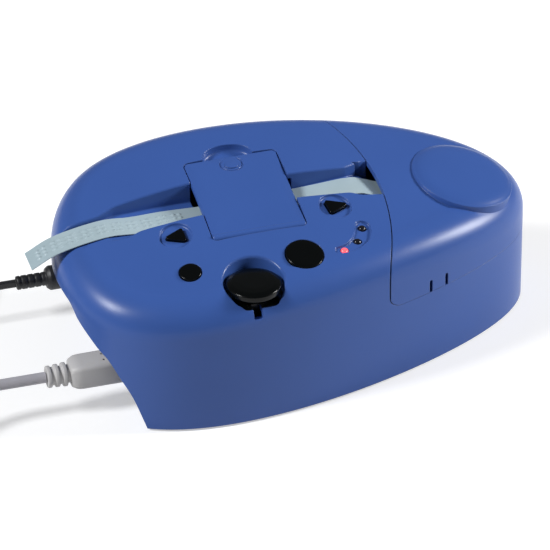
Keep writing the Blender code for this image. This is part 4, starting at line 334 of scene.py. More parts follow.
class Finish:
    """One material and its nodes."""

    def __init__(self, name):
        self.material = bpy.data.materials.new(name)
        self.material.use_nodes = True
        self.tree = self.material.node_tree
        self.tree.nodes.clear()

    def node(self, kind, settings=None, sockets=None, out=0):
        """A node of this type, with its settings made first, then its sockets given values or links."""
        made = self.tree.nodes.new("ShaderNode" + kind)
        for key, value in (settings or {}).items():
            if key == "stops":
                set_stops(made.color_ramp, value)
            else:
                setattr(made, key, value)
        for key, value in (sockets or {}).items():
            if isinstance(value, Value):
                self.tree.links.new(value.socket, made.inputs[key])
            else:
                made.inputs[key].default_value = value
        return Value(self, made.outputs[out]) if made.outputs else None

    def places(self):
        return self.node("TexCoord", out="Object")

    def noise(self, scale, detail=2.0, roughness=0.5, vector=None):
        sockets = {"Vector": vector or self.places(), "Scale": scale}
        sockets |= {"Detail": detail, "Roughness": roughness}
        return self.node("TexNoise", None, sockets)

    def mix(self, share, first, second):
        """A colour between two, each a colour or a link."""
        return self.node("Mix", {"data_type": "RGBA"}, {0: share, 6: first, 7: second}, 2)

    def ramp(self, value, *stops):
        return self.node("ValToRGB", {"stops": stops}, {0: value})

    def clamp(self, value):
        return self.node("Clamp", None, {0: value})

    def edges(self, radius):
        """The normal with edges rounded, and a mask of those edges."""
        soft = self.node("Bevel", {"samples": 6}, {"Radius": radius})
        plain = self.node("NewGeometry", out="Normal")
        facing = self.node("VectorMath", {"operation": "DOT_PRODUCT"}, {0: soft, 1: plain}, 1)
        return soft, self.clamp((1.0 - facing) * EDGE_GAIN)

    def bump(self, height, distance, strength=1.0, normal=None):
        sockets = {"Height": height, "Distance": distance, "Strength": strength}
        if normal:
            sockets["Normal"] = normal
        return self.node("Bump", None, sockets)

    def close(self, base, roughness, normal=None, **more):
        """The shader and the output."""
        sockets = {"Base Color": base, "Roughness": roughness}
        if normal:
            sockets["Normal"] = normal
        for key, value in more.items():
            sockets[key.replace("_", " ").title().replace("Ior", "IOR")] = value
        shader = self.node("BsdfPrincipled", None, sockets)
        self.node("OutputMaterial", None, {"Surface": shader})
        return self.material


def set_stops(ramp, stops):
    while len(ramp.elements) > 1:
        ramp.elements.remove(ramp.elements[-1])
    for i, (place, colour) in enumerate(stops):
        stop = ramp.elements[0] if i == 0 else ramp.elements.new(place)
        stop.position = place
        stop.color = (*colour, 1.0)


def shade(colour, share):
    """A colour made darker or lighter, held under full strength."""
    return (*[min(1.0, part * share) for part in colour[:3]], 1.0)


def moulded_finish(name, colour, rough, grain=0.00035, depth=0.00002, edge=0.0003, wear=0.25, **more):
    """Moulded plastic: a fine even grain, faint clouding, softened and lightly rubbed edges."""
    f = Finish(name)
    cloud = f.noise(22.0, 3.0)
    fine = f.noise(1.0 / grain, 2.0, 0.6)
    rub = f.noise(160.0, 4.0, 0.7)
    soft, rim = f.edges(edge)
    worn = f.clamp(rim * rub * 2.0 * wear)
    base = f.mix(cloud, shade(colour, 0.93), shade(colour, 1.07))
    base = f.mix(worn, base, shade([0.6 * part + 0.12 for part in colour[:3]], 1.0))
    roughness = rough + (fine - 0.5) * 0.10 + (cloud - 0.5) * 0.08
    return f.close(base, roughness, f.bump(fine, depth, 1.0, soft), **more)


def metal_finish(name, colour, rough, stretch=(1.0, 30.0, 30.0)):
    """Drawn or turned metal with a brushed grain, dull patches and a painted highlight that lightens its
    edges.
    """
    f = Finish(name)
    run = f.node("Mapping", None, {"Vector": f.places(), "Scale": stretch})
    brush = f.noise(90.0, 4.0, 0.7, run)
    dull = f.noise(60.0, 3.0)
    soft, rim = f.edges(0.0002)
    base = f.mix(dull, shade(colour, 0.86), shade(colour, 1.05))
    # Painted highlight: every edge is made lighter in colour.
    base = f.mix(rim * 0.5, base, shade(colour, 1.25))
    roughness = rough + (brush - 0.5) * 0.22 + dull * 0.10
    return f.close(base, roughness, f.bump(brush, 0.00001, 0.6, soft), metallic=1.0)


def rubber_finish(name, colour, rough=0.72):
    """Dull rubber or soft sheath with a dusty bloom."""
    f = Finish(name)
    dust = f.noise(140.0, 4.0, 0.65)
    fine = f.noise(2600.0, 2.0)
    base = f.mix(dust * 0.5, shade(colour, 0.9), shade([part + 0.02 for part in colour[:3]], 1.25))
    return f.close(base, rough + (dust - 0.5) * 0.14, f.bump(fine, 0.00002))


def tape_finish():
    """Pale vinyl label tape with a faint cloudiness and hair-fine rolling marks along it."""
    f = Finish("tape_vinyl")
    cloud = f.noise(70.0, 3.0)
    run = f.node("Mapping", None, {"Vector": f.places(), "Scale": (2.0, 90.0, 2.0)})
    lines = f.noise(40.0, 2.0, 0.5, run)
    base = f.mix(cloud, (0.33, 0.43, 0.47, 1.0), (0.41, 0.51, 0.56, 1.0))
    roughness = 0.34 + (lines - 0.5) * 0.15
    return f.close(base, roughness, f.bump(lines, 0.00002, 0.4), ior=1.48)


def roll_finish():
    """The wound roll: fine rings on its sides, one for each turn of tape."""
    f = Finish("tape_roll_turns")
    middle = (REEL_AT[0] + SHIFT.x, 0.0, REEL_AT[1])
    flat = f.node("VectorMath", {"operation": "SUBTRACT"}, {0: f.places(), 1: middle})
    flat = f.node("VectorMath", {"operation": "MULTIPLY"}, {0: flat, 1: (1.0, 0.0, 1.0)})
    reach = f.node("VectorMath", {"operation": "LENGTH"}, {0: flat}, 1)
    turns = f.node("Math", {"operation": "SINE"}, {0: reach * 12000.0}) * 0.5 + 0.5
    base = f.mix(turns, (0.26, 0.34, 0.37, 1.0), (0.40, 0.50, 0.55, 1.0))
    return f.close(base, 0.42 + turns * 0.08, f.bump(turns, 0.00006, 0.7))


def lens_finish(name, colour, glow):
    """A small coloured lens over a lamp."""
    f = Finish(name)
    swirl = f.noise(900.0, 2.0)
    base = f.mix(swirl, shade(colour, 0.85), shade(colour, 1.15))
    return f.close(base, 0.16 + swirl * 0.06, None, emission_color=base, emission_strength=glow)


def board_finish():
    """Green lacquered laminate with copper tracks showing through."""
    f = Finish("board_lacquer")
    cells = f.node("TexVoronoi", {"distance": "CHEBYCHEV"}, {"Vector": f.places(), "Scale": 420.0})
    tracks = f.ramp(cells, (0.0, (0.0, 0.0, 0.0)), (0.46, (0.0, 0.0, 0.0)), (0.52, (1.0, 1.0, 1.0)))
    base = f.mix(tracks, (0.012, 0.12, 0.045, 1.0), (0.03, 0.21, 0.08, 1.0))
    return f.close(base, 0.34, f.bump(tracks, 0.00003, 0.5))


BLUE = moulded_finish(
    "blue_satin_plastic", (0.040, 0.097, 0.335), 0.31, edge=0.0004, specular_ior_level=0.28
)
INNER_BLUE = moulded_finish("dark_blue_plastic", (0.019, 0.058, 0.205), 0.52, 0.0005, 0.00003)
BLACK = moulded_finish(
    "black_key_plastic", (0.0012, 0.0018, 0.002), 0.2, 0.0003, 0.000008, wear=0.02, specular_ior_level=0.2
)
BLACK_SATIN = moulded_finish("black_plug_plastic", (0.012, 0.012, 0.014), 0.46, 0.0004)
PALE_GREY = moulded_finish("grey_plug_plastic", (0.52, 0.51, 0.51), 0.50, 0.0004)
SHADE_GREY = moulded_finish("dark_moulding", (0.055, 0.056, 0.060), 0.5)
WHITE = moulded_finish("white_gear_plastic", (0.72, 0.72, 0.69), 0.42)
STEEL = metal_finish("satin_steel", (0.56, 0.57, 0.58), 0.28)
BRASS = metal_finish("turned_brass", (0.70, 0.50, 0.22), 0.26, (30.0, 1.0, 30.0))
RUBBER = rubber_finish("foot_rubber_black", (0.018, 0.018, 0.019))
SHEATH = rubber_finish("pale_cord_sheath", (0.43, 0.42, 0.46), 0.55)
BLACK_SHEATH = rubber_finish("black_cord_sheath", (0.012, 0.012, 0.013), 0.5)
TAPE = tape_finish()
ROLL = roll_finish()
RED = lens_finish("red_lens_lit", (0.90, 0.10, 0.12), 0.9)
SMOKE = lens_finish("smoked_lens", (0.008, 0.008, 0.012), 0.0)
BOARD = board_finish()


def show(name, built):
    """A mesh object from a bmesh, in the scene."""
    mesh = bpy.data.meshes.new(name)
    built.to_mesh(mesh)
    built.free()
    made = bpy.data.objects.new(name, mesh)
    SCENE.collection.objects.link(made)
    return made


def add(name, built):
    """The same from the housing's numbers, with its faces turned outwards."""
    bmesh.ops.recalc_face_normals(built, faces=built.faces)
    made = show(name, built)
    made.data.transform(Matrix.Translation(SHIFT))
    return made


def loft(name, rings, low="face", high="face"):
    """Skins equal closed rings. An end is a face, a point, a ladder of faces between two sides, or None."""
    built = bmesh.new()
    loops = [[built.verts.new(point) for point in ring] for ring in rings]
    count = len(loops[0])
    for lower, upper in zip(loops, loops[1:]):
        for i in range(count):
            k = (i + 1) % count
            built.faces.new((lower[i], lower[k], upper[k], upper[i]))
    for loop, end in ((loops[0], low), (loops[-1], high)):
        if end is None:
            continue
        if end == "face":
            built.faces.new(loop)
        elif end == "ladder":
            half = count // 2
            for i in range(half - 1):
                built.faces.new((loop[i], loop[i + 1], loop[count - 2 - i], loop[count - 1 - i]))
        else:
            tip = built.verts.new(end)
            for i in range(count):
                built.faces.new((loop[i], loop[(i + 1) % count], tip))
    return add(name, built)


def lathe(name, profile, place, steps=64, ring=False):
    """Turns a profile of (radius, height) points about the Z axis of a frame."""
    built = bmesh.new()
    loops = []
    for radius, height in profile:
        if radius < 1e-7:
            loops.append([built.verts.new(place @ Vector((0.0, 0.0, height)))])
            continue
        ring_at = circle((0.0, 0.0), radius, steps)
        loops.append([built.verts.new(place @ Vector((x, y, height))) for x, y in ring_at])
    pairs = list(zip(loops, loops[1:]))
    if ring:
        pairs.append((loops[-1], loops[0]))
    for first, second in pairs:
        for i in range(steps):
            k = (i + 1) % steps
            corners = [first[i % len(first)], first[k % len(first)]]
            corners += [second[k % len(second)], second[i % len(second)]]
            face = list(dict.fromkeys(corners))
            if len(face) > 2:
                built.faces.new(face)
    return add(name, built)


def soften(points, radius, steps=4, closed=False):
    """A line in a plane with its corners rounded. The radius is one number, or one for each point."""
    count = len(points)
    radii = [radius] * count if isinstance(radius, float) else list(radius)
    made = []
    for i, here in enumerate(points):
        if radii[i] == 0 or (not closed and i in (0, count - 1)):
            made.append(tuple(here))
            continue
        here = Vector(here)
        before = Vector(points[i - 1]) - here
        after = Vector(points[(i + 1) % count]) - here
        turn = math.pi - before.angle(after)
        if turn < LEAST_BEND:
            made.append(tuple(here))
            continue
        half = math.tan(turn / 2)
        reach = min(radii[i] * half, SIDE_SHARE * before.length, SIDE_SHARE * after.length)
        start = here + before.normalized() * reach
        end = here + after.normalized() * reach
        inwards = (before.normalized() + after.normalized()).normalized()
        centre = here + inwards * (reach / half / math.cos(turn / 2))
        arm, last = start - centre, end - centre
        sign = 1.0 if arm.x * last.y - arm.y * last.x > 0 else -1.0
        for k in range(steps + 1):
            angle = turn * (k / steps)
            cos, sin = math.cos(angle), math.sin(angle) * sign
            made.append((centre.x + arm.x * cos - arm.y * sin, centre.y + arm.x * sin + arm.y * cos))
    return made


def turned_profile(rows, steps=4):
    """A profile from rows of (radius, height, rounding)."""
    return soften([row[:2] for row in rows], [row[2] for row in rows], steps)


def unit(rows):
    """Rows of directions, each made one long."""
    return rows / np.maximum(np.linalg.norm(rows, axis=1)[:, None], TINY)


def grown(outline, outset):
    """An outline moved outwards along its own normals."""
    plan = np.array(outline, float)
    before = unit(plan - np.roll(plan, 1, 0))
    after = unit(np.roll(plan, -1, 0) - plan)
    first = np.stack([before[:, 1], -before[:, 0]], 1)
    second = np.stack([after[:, 1], -after[:, 0]], 1)
    middle = unit(first + second)
    stretch = np.maximum((middle * first).sum(1), LEAST_MITRE)[:, None]
    size = np.asarray(outset, float)
    return plan + middle / stretch * (size[:, None] if size.ndim else size)


def polar(centre, radius, degrees):
    """The point at this radius and angle round a centre."""
    turn = math.radians(degrees)
    return (centre[0] + radius * math.cos(turn), centre[1] + radius * math.sin(turn))


def circle(centre, radius, steps=48, start=0.0, end=360.0):
    """Points round a circle, or along an arc with both its ends."""
    count = steps if end - start == 360.0 else steps - 1
    return [polar(centre, radius, start + (end - start) * i / count) for i in range(steps)]


def rectangle(xs, ys):
    return [(xs[0], ys[0]), (xs[1], ys[0]), (xs[1], ys[1]), (xs[0], ys[1])]


def arc_steps(count):
    return [math.radians(90 * k / count) for k in range(count + 1)]


def through(name, outline, low, high, place=None):
    """A straight solid of an outline between two heights, upright or along a frame's Z."""
    place = place or Matrix.Identity(4)
    return loft(name, [[place @ Vector((x, y, z)) for x, y in outline] for z in (low, high)])


def slab(name, outline, low, high, edge, place=None, steps=3):
    """A plate of an outline with rounded upper and lower edges."""
    place = place or Matrix.Identity(4)
    levels = [(math.sin(a), low + edge * (1.0 - math.cos(a))) for a in arc_steps(steps)]
    levels += [(math.cos(a), high - edge * (1.0 - math.sin(a))) for a in arc_steps(steps)]
    rings = []
    for share, height in levels:
        plan = grown(outline, edge * (share - 1.0))
        rings.append([place @ Vector((x, y, height)) for x, y in plan])
    return loft(name, rings)


def block(name, xs, ys, zs, edge=0.0003):
    """A box with rounded edges."""
    built = bmesh.new()
    middle = [(low + high) / 2 for low, high in (xs, ys, zs)]
    sizes = [high - low for low, high in (xs, ys, zs)]
    at = Matrix.Translation(middle) @ Matrix.Diagonal((*sizes, 1.0))
    bmesh.ops.create_cube(built, size=1.0, matrix=at)
    if edge:
        bmesh.ops.bevel(built, geom=built.edges[:], offset=edge, segments=3, profile=0.5, affect="EDGES")
    return add(name, built)


def frame_at(place, axis):
    turn = Vector(axis).to_track_quat("Z", "Y").to_matrix().to_4x4()
    return Matrix.Translation(place) @ turn


def rod(name, start, end, radius, edge=0.0, steps=32):
    run = Vector(end) - Vector(start)
    corners = [(0.0, 0.0), (radius, 0.0), (radius, run.length), (0.0, run.length)]
    return lathe(name, soften(corners, edge), frame_at(start, run), steps)


def ellipsoid(name, centre, radii, steps=48):
    built = bmesh.new()
    place = Matrix.Translation(centre) @ Matrix.Diagonal((*radii, 1.0))
    bmesh.ops.create_uvsphere(built, u_segments=steps, v_segments=steps // 2, radius=1.0, matrix=place)
    return add(name, built)


def side_prism(name, xs, zs, ys):
    return loft(name, [[(x, y, z) for x, z in zip(xs, zs)] for y in ys])


def cut(target, *tools, operation="DIFFERENCE"):
    """Cuts, joins or crosses a solid with others in turn, and throws them away.

    Where the first solver can't work it leaves the solid empty or as it was, and the second is tried.
    """
    for tool in tools:
        change = target.modifiers.new("cut", "BOOLEAN")
        change.operation = operation
        change.object = tool
        count = len(target.data.vertices)
        for solver in ("MANIFOLD", "EXACT"):
            change.solver = solver
            graph = bpy.context.evaluated_depsgraph_get()
            made = bpy.data.meshes.new_from_object(target.evaluated_get(graph))
            if len(made.vertices) not in (0, count):
                break
        target.modifiers.clear()
        target.data = made
        bpy.data.objects.remove(tool, do_unlink=True)
    return target


def join(target, *tools):
    return cut(target, *tools, operation="UNION")


def merge(name, shapes):
    """Shapes that don't touch, as one mesh."""
    built = bmesh.new()
    for shape in shapes:
        built.from_mesh(shape.data)
        bpy.data.objects.remove(shape, do_unlink=True)
    return show(name, built)


def smooth(shape, degrees=35.0):
    mesh = shape.data
    for face in mesh.polygons:
        face.use_smooth = True
    mesh.set_sharp_from_angle(angle=math.radians(degrees))
    return shape


def piece(shape, body, finish, slot, *nodes, degrees=35.0):
    """Gives a shape its finish and its body, and hides the model's nodes that it takes the place of."""
    if degrees:
        smooth(shape, degrees)
    shape.data.materials.clear()
    shape.data.materials.append(finish)
    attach(shape, body)
    if nodes:
        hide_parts(*nodes)
    return shape


def smooth_route(route, step):
    """Points at an even step along a smooth curve through given points."""
    places = np.array(route)
    padded = np.vstack([2 * places[0] - places[1], places, 2 * places[-1] - places[-2]])
    t = np.arange(12)[:, None] / 12
    fine = []
    for a, b, c, d in zip(padded, padded[1:], padded[2:], padded[3:]):
        curve = 2 * b + (c - a) * t + (2 * a - 5 * b + 4 * c - d) * t**2
        fine.append((curve + (3 * b - a - 3 * c + d) * t**3) / 2)
    fine = np.vstack([*fine, places[-1:]])
    run = np.concatenate([[0.0], np.cumsum(np.linalg.norm(np.diff(fine, axis=0), axis=1))])
    count = max(2, round(float(run[-1]) / step) + 1)
    stops = np.linspace(0.0, run[-1], count)
    return np.stack([np.interp(stops, run, fine[:, k]) for k in range(3)], 1)


def coil_route(centre, radii, pitch, layer_turns, turns, base, start_degrees):
    """A wound cord in four layers, which spiral in and out by turns and drop where they turn back."""
    points = []
    for k in range(round(turns * LOOP_POINTS) + 1):
        turn = k / LOOP_POINTS
        layer = min(COIL_LAYERS - 1, int(turn / layer_turns))
        share = turn / layer_turns - layer
        if layer % 2 == 0:
            radius = radii[1] - (radii[1] - radii[0]) * share
        else:
            radius = radii[0] + (radii[1] - radii[0]) * share
        height = base + (COIL_LAYERS - 1) * pitch
        for step in range(1, COIL_LAYERS):
            u = max(0.0, min(1.0, (turn - step * layer_turns) / DROP_TURNS + 0.5))
            height -= pitch * u * u * (3 - 2 * u)
        points.append((*polar(centre, radius, start_degrees - 360.0 * turn), height))
    return points


def sweep(name, points, section):
    """Carries a section, (side, up) pairs, along a path that stays near level."""
    path = np.array(points)
    ahead = unit(np.gradient(path, axis=0))
    side = unit(np.cross(ahead, (0.0, 0.0, 1.0)))
    up = np.cross(side, ahead)
    rings = []
    for at, across, above in zip(path, side, up):
        rings.append([at + across * a + above * b for a, b in section])
    return loft(name, rings)


def lay_cord(side, free, coil, tail, section, diameter, length, far, finish, slot):
    """The whole cord: straight out of its plug, wound in its coil and on to what it ends in."""
    start = [tuple(point) for point in smooth_route(free, FREE_STEP)]
    wound = coil_route(*coil)
    end = [tuple(point) for point in smooth_route([wound[-1], *tail], TAIL_STEP)[1:]]
    path = start + wound + end
    cord = sweep(side + "_whole_cord", path, section)
    piece(cord, "housing", finish, slot, side + "_cord", side + "_coil", degrees=60.0)


def twin_section(radius, apart):
    """Two round strands side by side in one flat sheath, standing on edge."""
    angles = np.radians(range(-100, 101, 20))
    upper = [(radius * math.sin(a), apart + radius * math.cos(a)) for a in angles]
    return upper + [(-x, -z) for x, z in upper]


def lay_cords(host, adapter):
    """Both cords, each laid on to what hangs on its far end."""
    ring = circle((0.0, 0.0), USB_CORD_RADIUS, 16)
    usb = ("usb", USB_FREE_ROUTE, USB_COIL, USB_TAIL, ring)
    lay_cord(*usb, 0.0045, 1.20, [host], SHEATH, "cord_sheath")
    twin = twin_section(STRAND_RADIUS, STRAND_APART)
    low_voltage = ("dc", DC_FREE_ROUTE, DC_COIL, DC_TAIL, twin)
    lay_cord(*low_voltage, 0.0036, 1.26, [adapter], BLACK_SHEATH, "black_sheath")


def outline_points(spans):
    """The plan outline, counter-clockwise, and its inward normals."""
    cage = np.array(OUTLINE_SHARES) * (HALF_LENGTH, HALF_DEPTH)
    t = np.arange(spans) / spans
    curves = [(1 - t) ** 3, 3 * t**3 - 6 * t**2 + 4, -3 * t**3 + 3 * t**2 + 3 * t + 1, t**3]
    weights = np.stack(curves, 1) / 6
    count = len(cage)
    runs = [weights @ cage[[i - 1, i, (i + 1) % count, (i + 2) % count]] for i in range(count)]
    points = np.concatenate(runs)
    ahead = unit(np.roll(points, -1, 0) - np.roll(points, 1, 0))
    return points, np.stack([-ahead[:, 1], ahead[:, 0]], 1)


OUTLINE, INWARD = outline_points(16)
MIDDLE = OUTLINE.mean(0)


def crown(x, y):
    """Height of the housing's top, before its shoulder rounds off."""
    across = y**2 / (2 * CROWN_RADIUS_Y)
    lengthwise = (x - CROWN_RIDGE_X) ** 2 / (2 * CROWN_RADIUS_X)
    return CROWN_HEIGHT + CROWN_TILT_SHARE * y - across - lengthwise


def seat(x, y, lean=None):
    """A frame on the crown whose Z axis is the surface normal there, or the normal at the lean point."""
    lean_x, lean_y = lean or (x, y)
    slope_x = -(lean_x - CROWN_RIDGE_X) / CROWN_RADIUS_X
    slope_y = CROWN_TILT_SHARE - lean_y / CROWN_RADIUS_Y
    up = Vector((-slope_x, -slope_y, 1.0)).normalized()
    right = Vector((1.0, 0.0, slope_x)).normalized()
    return frame_of((x, y, crown(x, y)), right, up.cross(right).normalized(), up)


def into(place, points):
    """Plan points on the crown, in a seat's own X and Y."""
    inverse = place.inverted()
    spots = [inverse @ Vector((x, y, crown(x, y))) for x, y in points]
    return [(spot.x, spot.y) for spot in spots]


def skin(name, inset, every=1, steps=14, low="face"):
    """The housing's closed outer body, or the same body smaller by the inset."""
    plan = OUTLINE[::every]
    inward = INWARD[::every]
    edge = plan + inward * SHOULDER_RADIUS
    top = crown(edge[:, 0], edge[:, 1])
    foot = FOOT_PROUD - (OVERRUN if inset else 0.0)
    rings = [np.column_stack([plan + inward * inset, np.full(len(plan), foot)])]
    bend = SHOULDER_RADIUS - inset
    for angle in arc_steps(steps):
        ring = plan + inward * (SHOULDER_RADIUS - bend * math.cos(angle))
        rings.append(np.column_stack([ring, top - SHOULDER_RADIUS + bend * math.sin(angle)]))
    for share in (0.94, 0.84, 0.70, 0.56, 0.42, 0.28, 0.14):
        ring = MIDDLE + (edge - MIDDLE) * share
        rings.append(np.column_stack([ring, crown(ring[:, 0], ring[:, 1]) - inset]))
    return loft(name, rings, low, (*MIDDLE, crown(*MIDDLE) - inset))


def skin_guide():
    """The uncut skin without its underside: a search tree of its faces, and its point normals."""
    shape = skin("whole_skin", 0.0, low=None)
    mesh = shape.data
    points = [v.co.copy() for v in mesh.vertices]
    faces = [tuple(face.vertices) for face in mesh.polygons]
    for face in mesh.polygons:
        face.use_smooth = True
    normals = [v.normal.copy() for v in mesh.vertices]
    bpy.data.objects.remove(shape, do_unlink=True)
    return BVHTree.FromPolygons(points, faces), points, faces, normals


SKIN_GUIDE = skin_guide()


def follow_skin(shape):
    """Where a cut body still is the smooth skin, its shading follows the uncut skin."""
    smooth(shape, 32.0)
    mesh = shape.data
    tree, points, faces, directions = SKIN_GUIDE
    normals = [corner.vector.copy() for corner in mesh.corner_normals]
    found = {}
    for index, vertex in enumerate(mesh.vertices):
        spot, _, face, _ = tree.find_nearest(vertex.co, SKIN_REACH)
        if spot is None:
            continue
        corners = faces[face]
        weights = interpolate.poly_3d_calc([points[c] for c in corners], spot)
        total = Vector((0.0, 0.0, 0.0))
        for corner, weight in zip(corners, weights):
            total += directions[corner] * weight
        found[index] = total.normalized()
    for face in mesh.polygons:
        if not all(v in found for v in face.vertices):
            continue
        if face.normal.dot(found[face.vertices[0]]) > SAME_FACING:
            for loop in face.loop_indices:
                normals[loop] = found[mesh.loops[loop].vertex_index]
    mesh.normals_split_custom_set(normals)
    return shape


def surface(plan, least):
    """Heights of the skin over plan points, never under the least height."""
    heights = []
    for x, y in plan:
        spot = SKIN_GUIDE[0].ray_cast(Vector((x + SHIFT.x, y, HIGH)), Vector((0.0, 0.0, -1.0)))[0]
        heights.append(spot.z if spot else 0.0)
    return np.maximum(heights, least)


def on_crown(plan, depth, least=0.0):
    """Plan points set below the skin."""
    return np.column_stack([plan, surface(plan, least) - depth])


def recess(name, outline, floor, foot, lip, least=0.0, steps=5, low="face", high="face"):
    """A recess cutter: a small round at the foot of its wall, and a lip that rolls over at the skin."""
    rings = []
    for angle in arc_steps(3):
        plan = grown(outline, foot * (math.sin(angle) - 1.0))
        rings.append(np.column_stack([plan, floor(plan) + foot * (1.0 - math.cos(angle))]))
    for angle in arc_steps(steps):
        plan = grown(outline, lip * (1.0 - math.cos(angle)))
        rings.append(on_crown(plan, lip * (1.0 - math.sin(angle)) - LIP_OVER * angle, least))
    rings.append(on_crown(grown(outline, lip), -OVERRUN, least))
    return loft(name, rings, low, high)


def pocket(name, outline, depth, foot, low=None):
    """A shallow recess, whose floor follows the crown."""
    if low is None:
        middle = np.mean(np.array(outline), 0)
        low = (*middle, crown(*middle) - depth)
    return recess(name, outline, lambda plan: surface(plan, 0.0) - depth, foot, POCKET_LIP, low=low)


def eased(line, stations, spread=0.0022):
    """A line of (x, y) corners, read at even stations and eased."""
    fine = np.linspace(stations[0] - 0.01, stations[-1] + 0.01, 900)
    level = np.interp(fine, *line)
    half = max(1, round(spread / (fine[1] - fine[0])))
    window = np.hanning(2 * half + 1)
    padded = np.concatenate([np.full(half, level[0]), level, np.full(half, level[-1])])
    return np.interp(stations, fine, np.convolve(padded, window / window.sum(), "valid"))


def channel(name, span, front, back, floor, lip):
    """A tape channel's cutter: its floor follows the tape, and its rounds shrink where it is shallow."""
    stations = np.linspace(*span, 60)
    sides = [np.column_stack([stations, eased(line, stations)]) for line in (front, back)]
    outline = np.concatenate([sides[0], sides[1][::-1]])
    low = np.interp(outline[:, 0], *floor) - TAPE_CLEAR
    room = np.maximum(surface(outline, 0.0) - low, 0.0002)
    foot = np.minimum(CHANNEL_FOOT, FOOT_SHARE * room)
    roll = np.minimum(lip, ROLL_SHARE * room)
    ends = {"low": "ladder", "high": "ladder"}
    return recess(name, outline, lambda plan: low, foot, roll, low + CHANNEL_LEAST, **ends)


def seam_body(name, space):
    """The turned region that belongs to the lid. Its level edge shuts closer than its curved one."""
    corner = SEAM_CORNER - space
    centre = SEAM_RADIUS + SEAM_CORNER
    level = SEAM_LEVEL + SEAM_CORNER - LEVEL_GAP_SHARE * space
    far = SEAM_RADIUS + WIDE
    profile = [(SEAM_RADIUS + space, HIGH), (far, HIGH), (far, level - corner)]
    profile += circle((centre, level), corner, 9, 270.0, 180.0)
    return lathe(name, profile, Matrix.Translation((*SEAM_AT, 0.0)), 288, True)


def hollow_body():
    """The housing's inside, less the walls that line its channels and recesses."""
    hollow = skin("hollow", WALL, 2, 6)
    drop = TAPE_CLEAR + LINER
    left_z = [z - drop for z in LABEL_Z]
    start, end = LEFT_LINER_X
    xs = [start, *LABEL_X[2:-1], end, end, start]
    zs = [left_z[1] + LINER, *left_z[2:-1], left_z[-1], HIGH, HIGH]
    cut(hollow, side_prism("left_liner", xs, zs, LEFT_LINER_Y))
    right_z = [z - drop for z in SUPPLY_Z]
    for (start, end), ys in RIGHT_LINERS:
        inside = [(x, z) for x, z in zip(SUPPLY_X, right_z) if start < x < end]
        xs = [start, *[x for x, z in inside], end, end, start]
        zs = [float(np.interp(start, SUPPLY_X, right_z)), *[z for x, z in inside]]
        cut(hollow, side_prism("right_liner", xs, [*zs, inside[-1][1], HIGH, HIGH], ys))
    wall = circle(CUT_AT, CUT_RADIUS + LINER, 96)
    cut(hollow, slab("recess_liner", wall, CUT_FLOOR - WALL, HIGH, 0.0001))
    at = (NOTCH_X, COVER_Y[1], crown(NOTCH_X, COVER_Y[1]) + 0.001)
    cut(hollow, ellipsoid("notch_liner", at, [radius + NOTCH_LINER for radius in NOTCH_RADII], 32))
    return hollow


def knob_recess():
    """The knob's round recess, which breaks out through the front of the shoulder."""

    def floor(plan):
        return np.full(len(plan), CUT_FLOOR)

    outline = circle(CUT_AT, CUT_RADIUS, 96)
    return recess("knob_recess", outline, floor, CUT_FOOT, CUT_LIP, CUT_FLOOR + CUT_LEAST, 6)


def arc_band():
    """The curved slot round the lamps, its outer side first, then its inner side back."""
    degrees = np.linspace(LAMP_ARC_DEGREES[0], LAMP_ARC_DEGREES[-1], 16)
    halves = np.interp(degrees, LAMP_ARC_DEGREES, LAMP_ARC_HALVES)

    def side(sign):
        reaches = LAMP_ARC_RADIUS + sign * halves
        return [polar(LAMP_ARC_AT, reach, turn) for turn, reach in zip(degrees, reaches)]

    def cap(end, turn):
        spot = polar(LAMP_ARC_AT, LAMP_ARC_RADIUS, degrees[end])
        start = degrees[end] + turn
        return circle(spot, halves[end], 6, start + 7.5, start + 82.5)

    outer = cap(0, -90.0) + side(1) + cap(-1, 0.0)
    return outer + cap(-1, 90.0) + side(-1)[::-1] + cap(0, 180.0)


LEFT_FRAME = seat(*BACK_DISH, LEFT_BOARD_AT)
RIGHT_FRAME = seat(*FORWARD_DISH, RIGHT_BOARD_AT)


def arrow_outline(place, corners):
    """A triangular key's outline in its own frame."""
    return soften(into(place, corners), ARROW_CORNER, 5, True)


def key_holes():
    """Every hole under a key, a lamp or the knob's stem."""
    found = []
    centre = (0.0, 0.0)
    for at, radius, lean in (
        (SET_AT, SET_RADIUS, RIGHT_BOARD_AT), (RESET_AT, RESET_RADIUS, LEFT_BOARD_AT)
    ):
        hole = circle(centre, radius + KEY_GAP, 64)
        found.append(through("key_hole", hole, -OVERRUN, OVERRUN, seat(*at, lean)))
    for lamp in LAMPS:
        hole = circle(centre, LAMP_RADIUS + LAMP_GAP, 32)
        found.append(through("lamp_hole", hole, -OVERRUN, OVERRUN, seat(*lamp, RIGHT_BOARD_AT)))
    for place, corners in ((LEFT_FRAME, BACK_KEY), (RIGHT_FRAME, FORWARD_KEY)):
        hole = grown(arrow_outline(place, corners), KEY_GAP)
        found.append(through("arrow_hole", hole, -OVERRUN, OVERRUN, place))
    found.append(through("stem_hole", circle(KNOB_AT, STEM_HOLE, 32), *STEM_HOLE_Z))
    return merge("holes", found)


def cover_outline(front, space):
    """The head cover's outline, square in front and rounded at the back."""
    xs = (COVER_X[0] + space, COVER_X[1] - space)
    size = COVER_CORNER - space
    back = COVER_Y[1] - space - size
    right = circle((xs[1] - size, back), size, 9, 0.0, 90.0)
    left = circle((xs[0] + size, back), size, 9, 90.0, 180.0)
    return [(xs[0], front), (xs[1], front)] + right + left


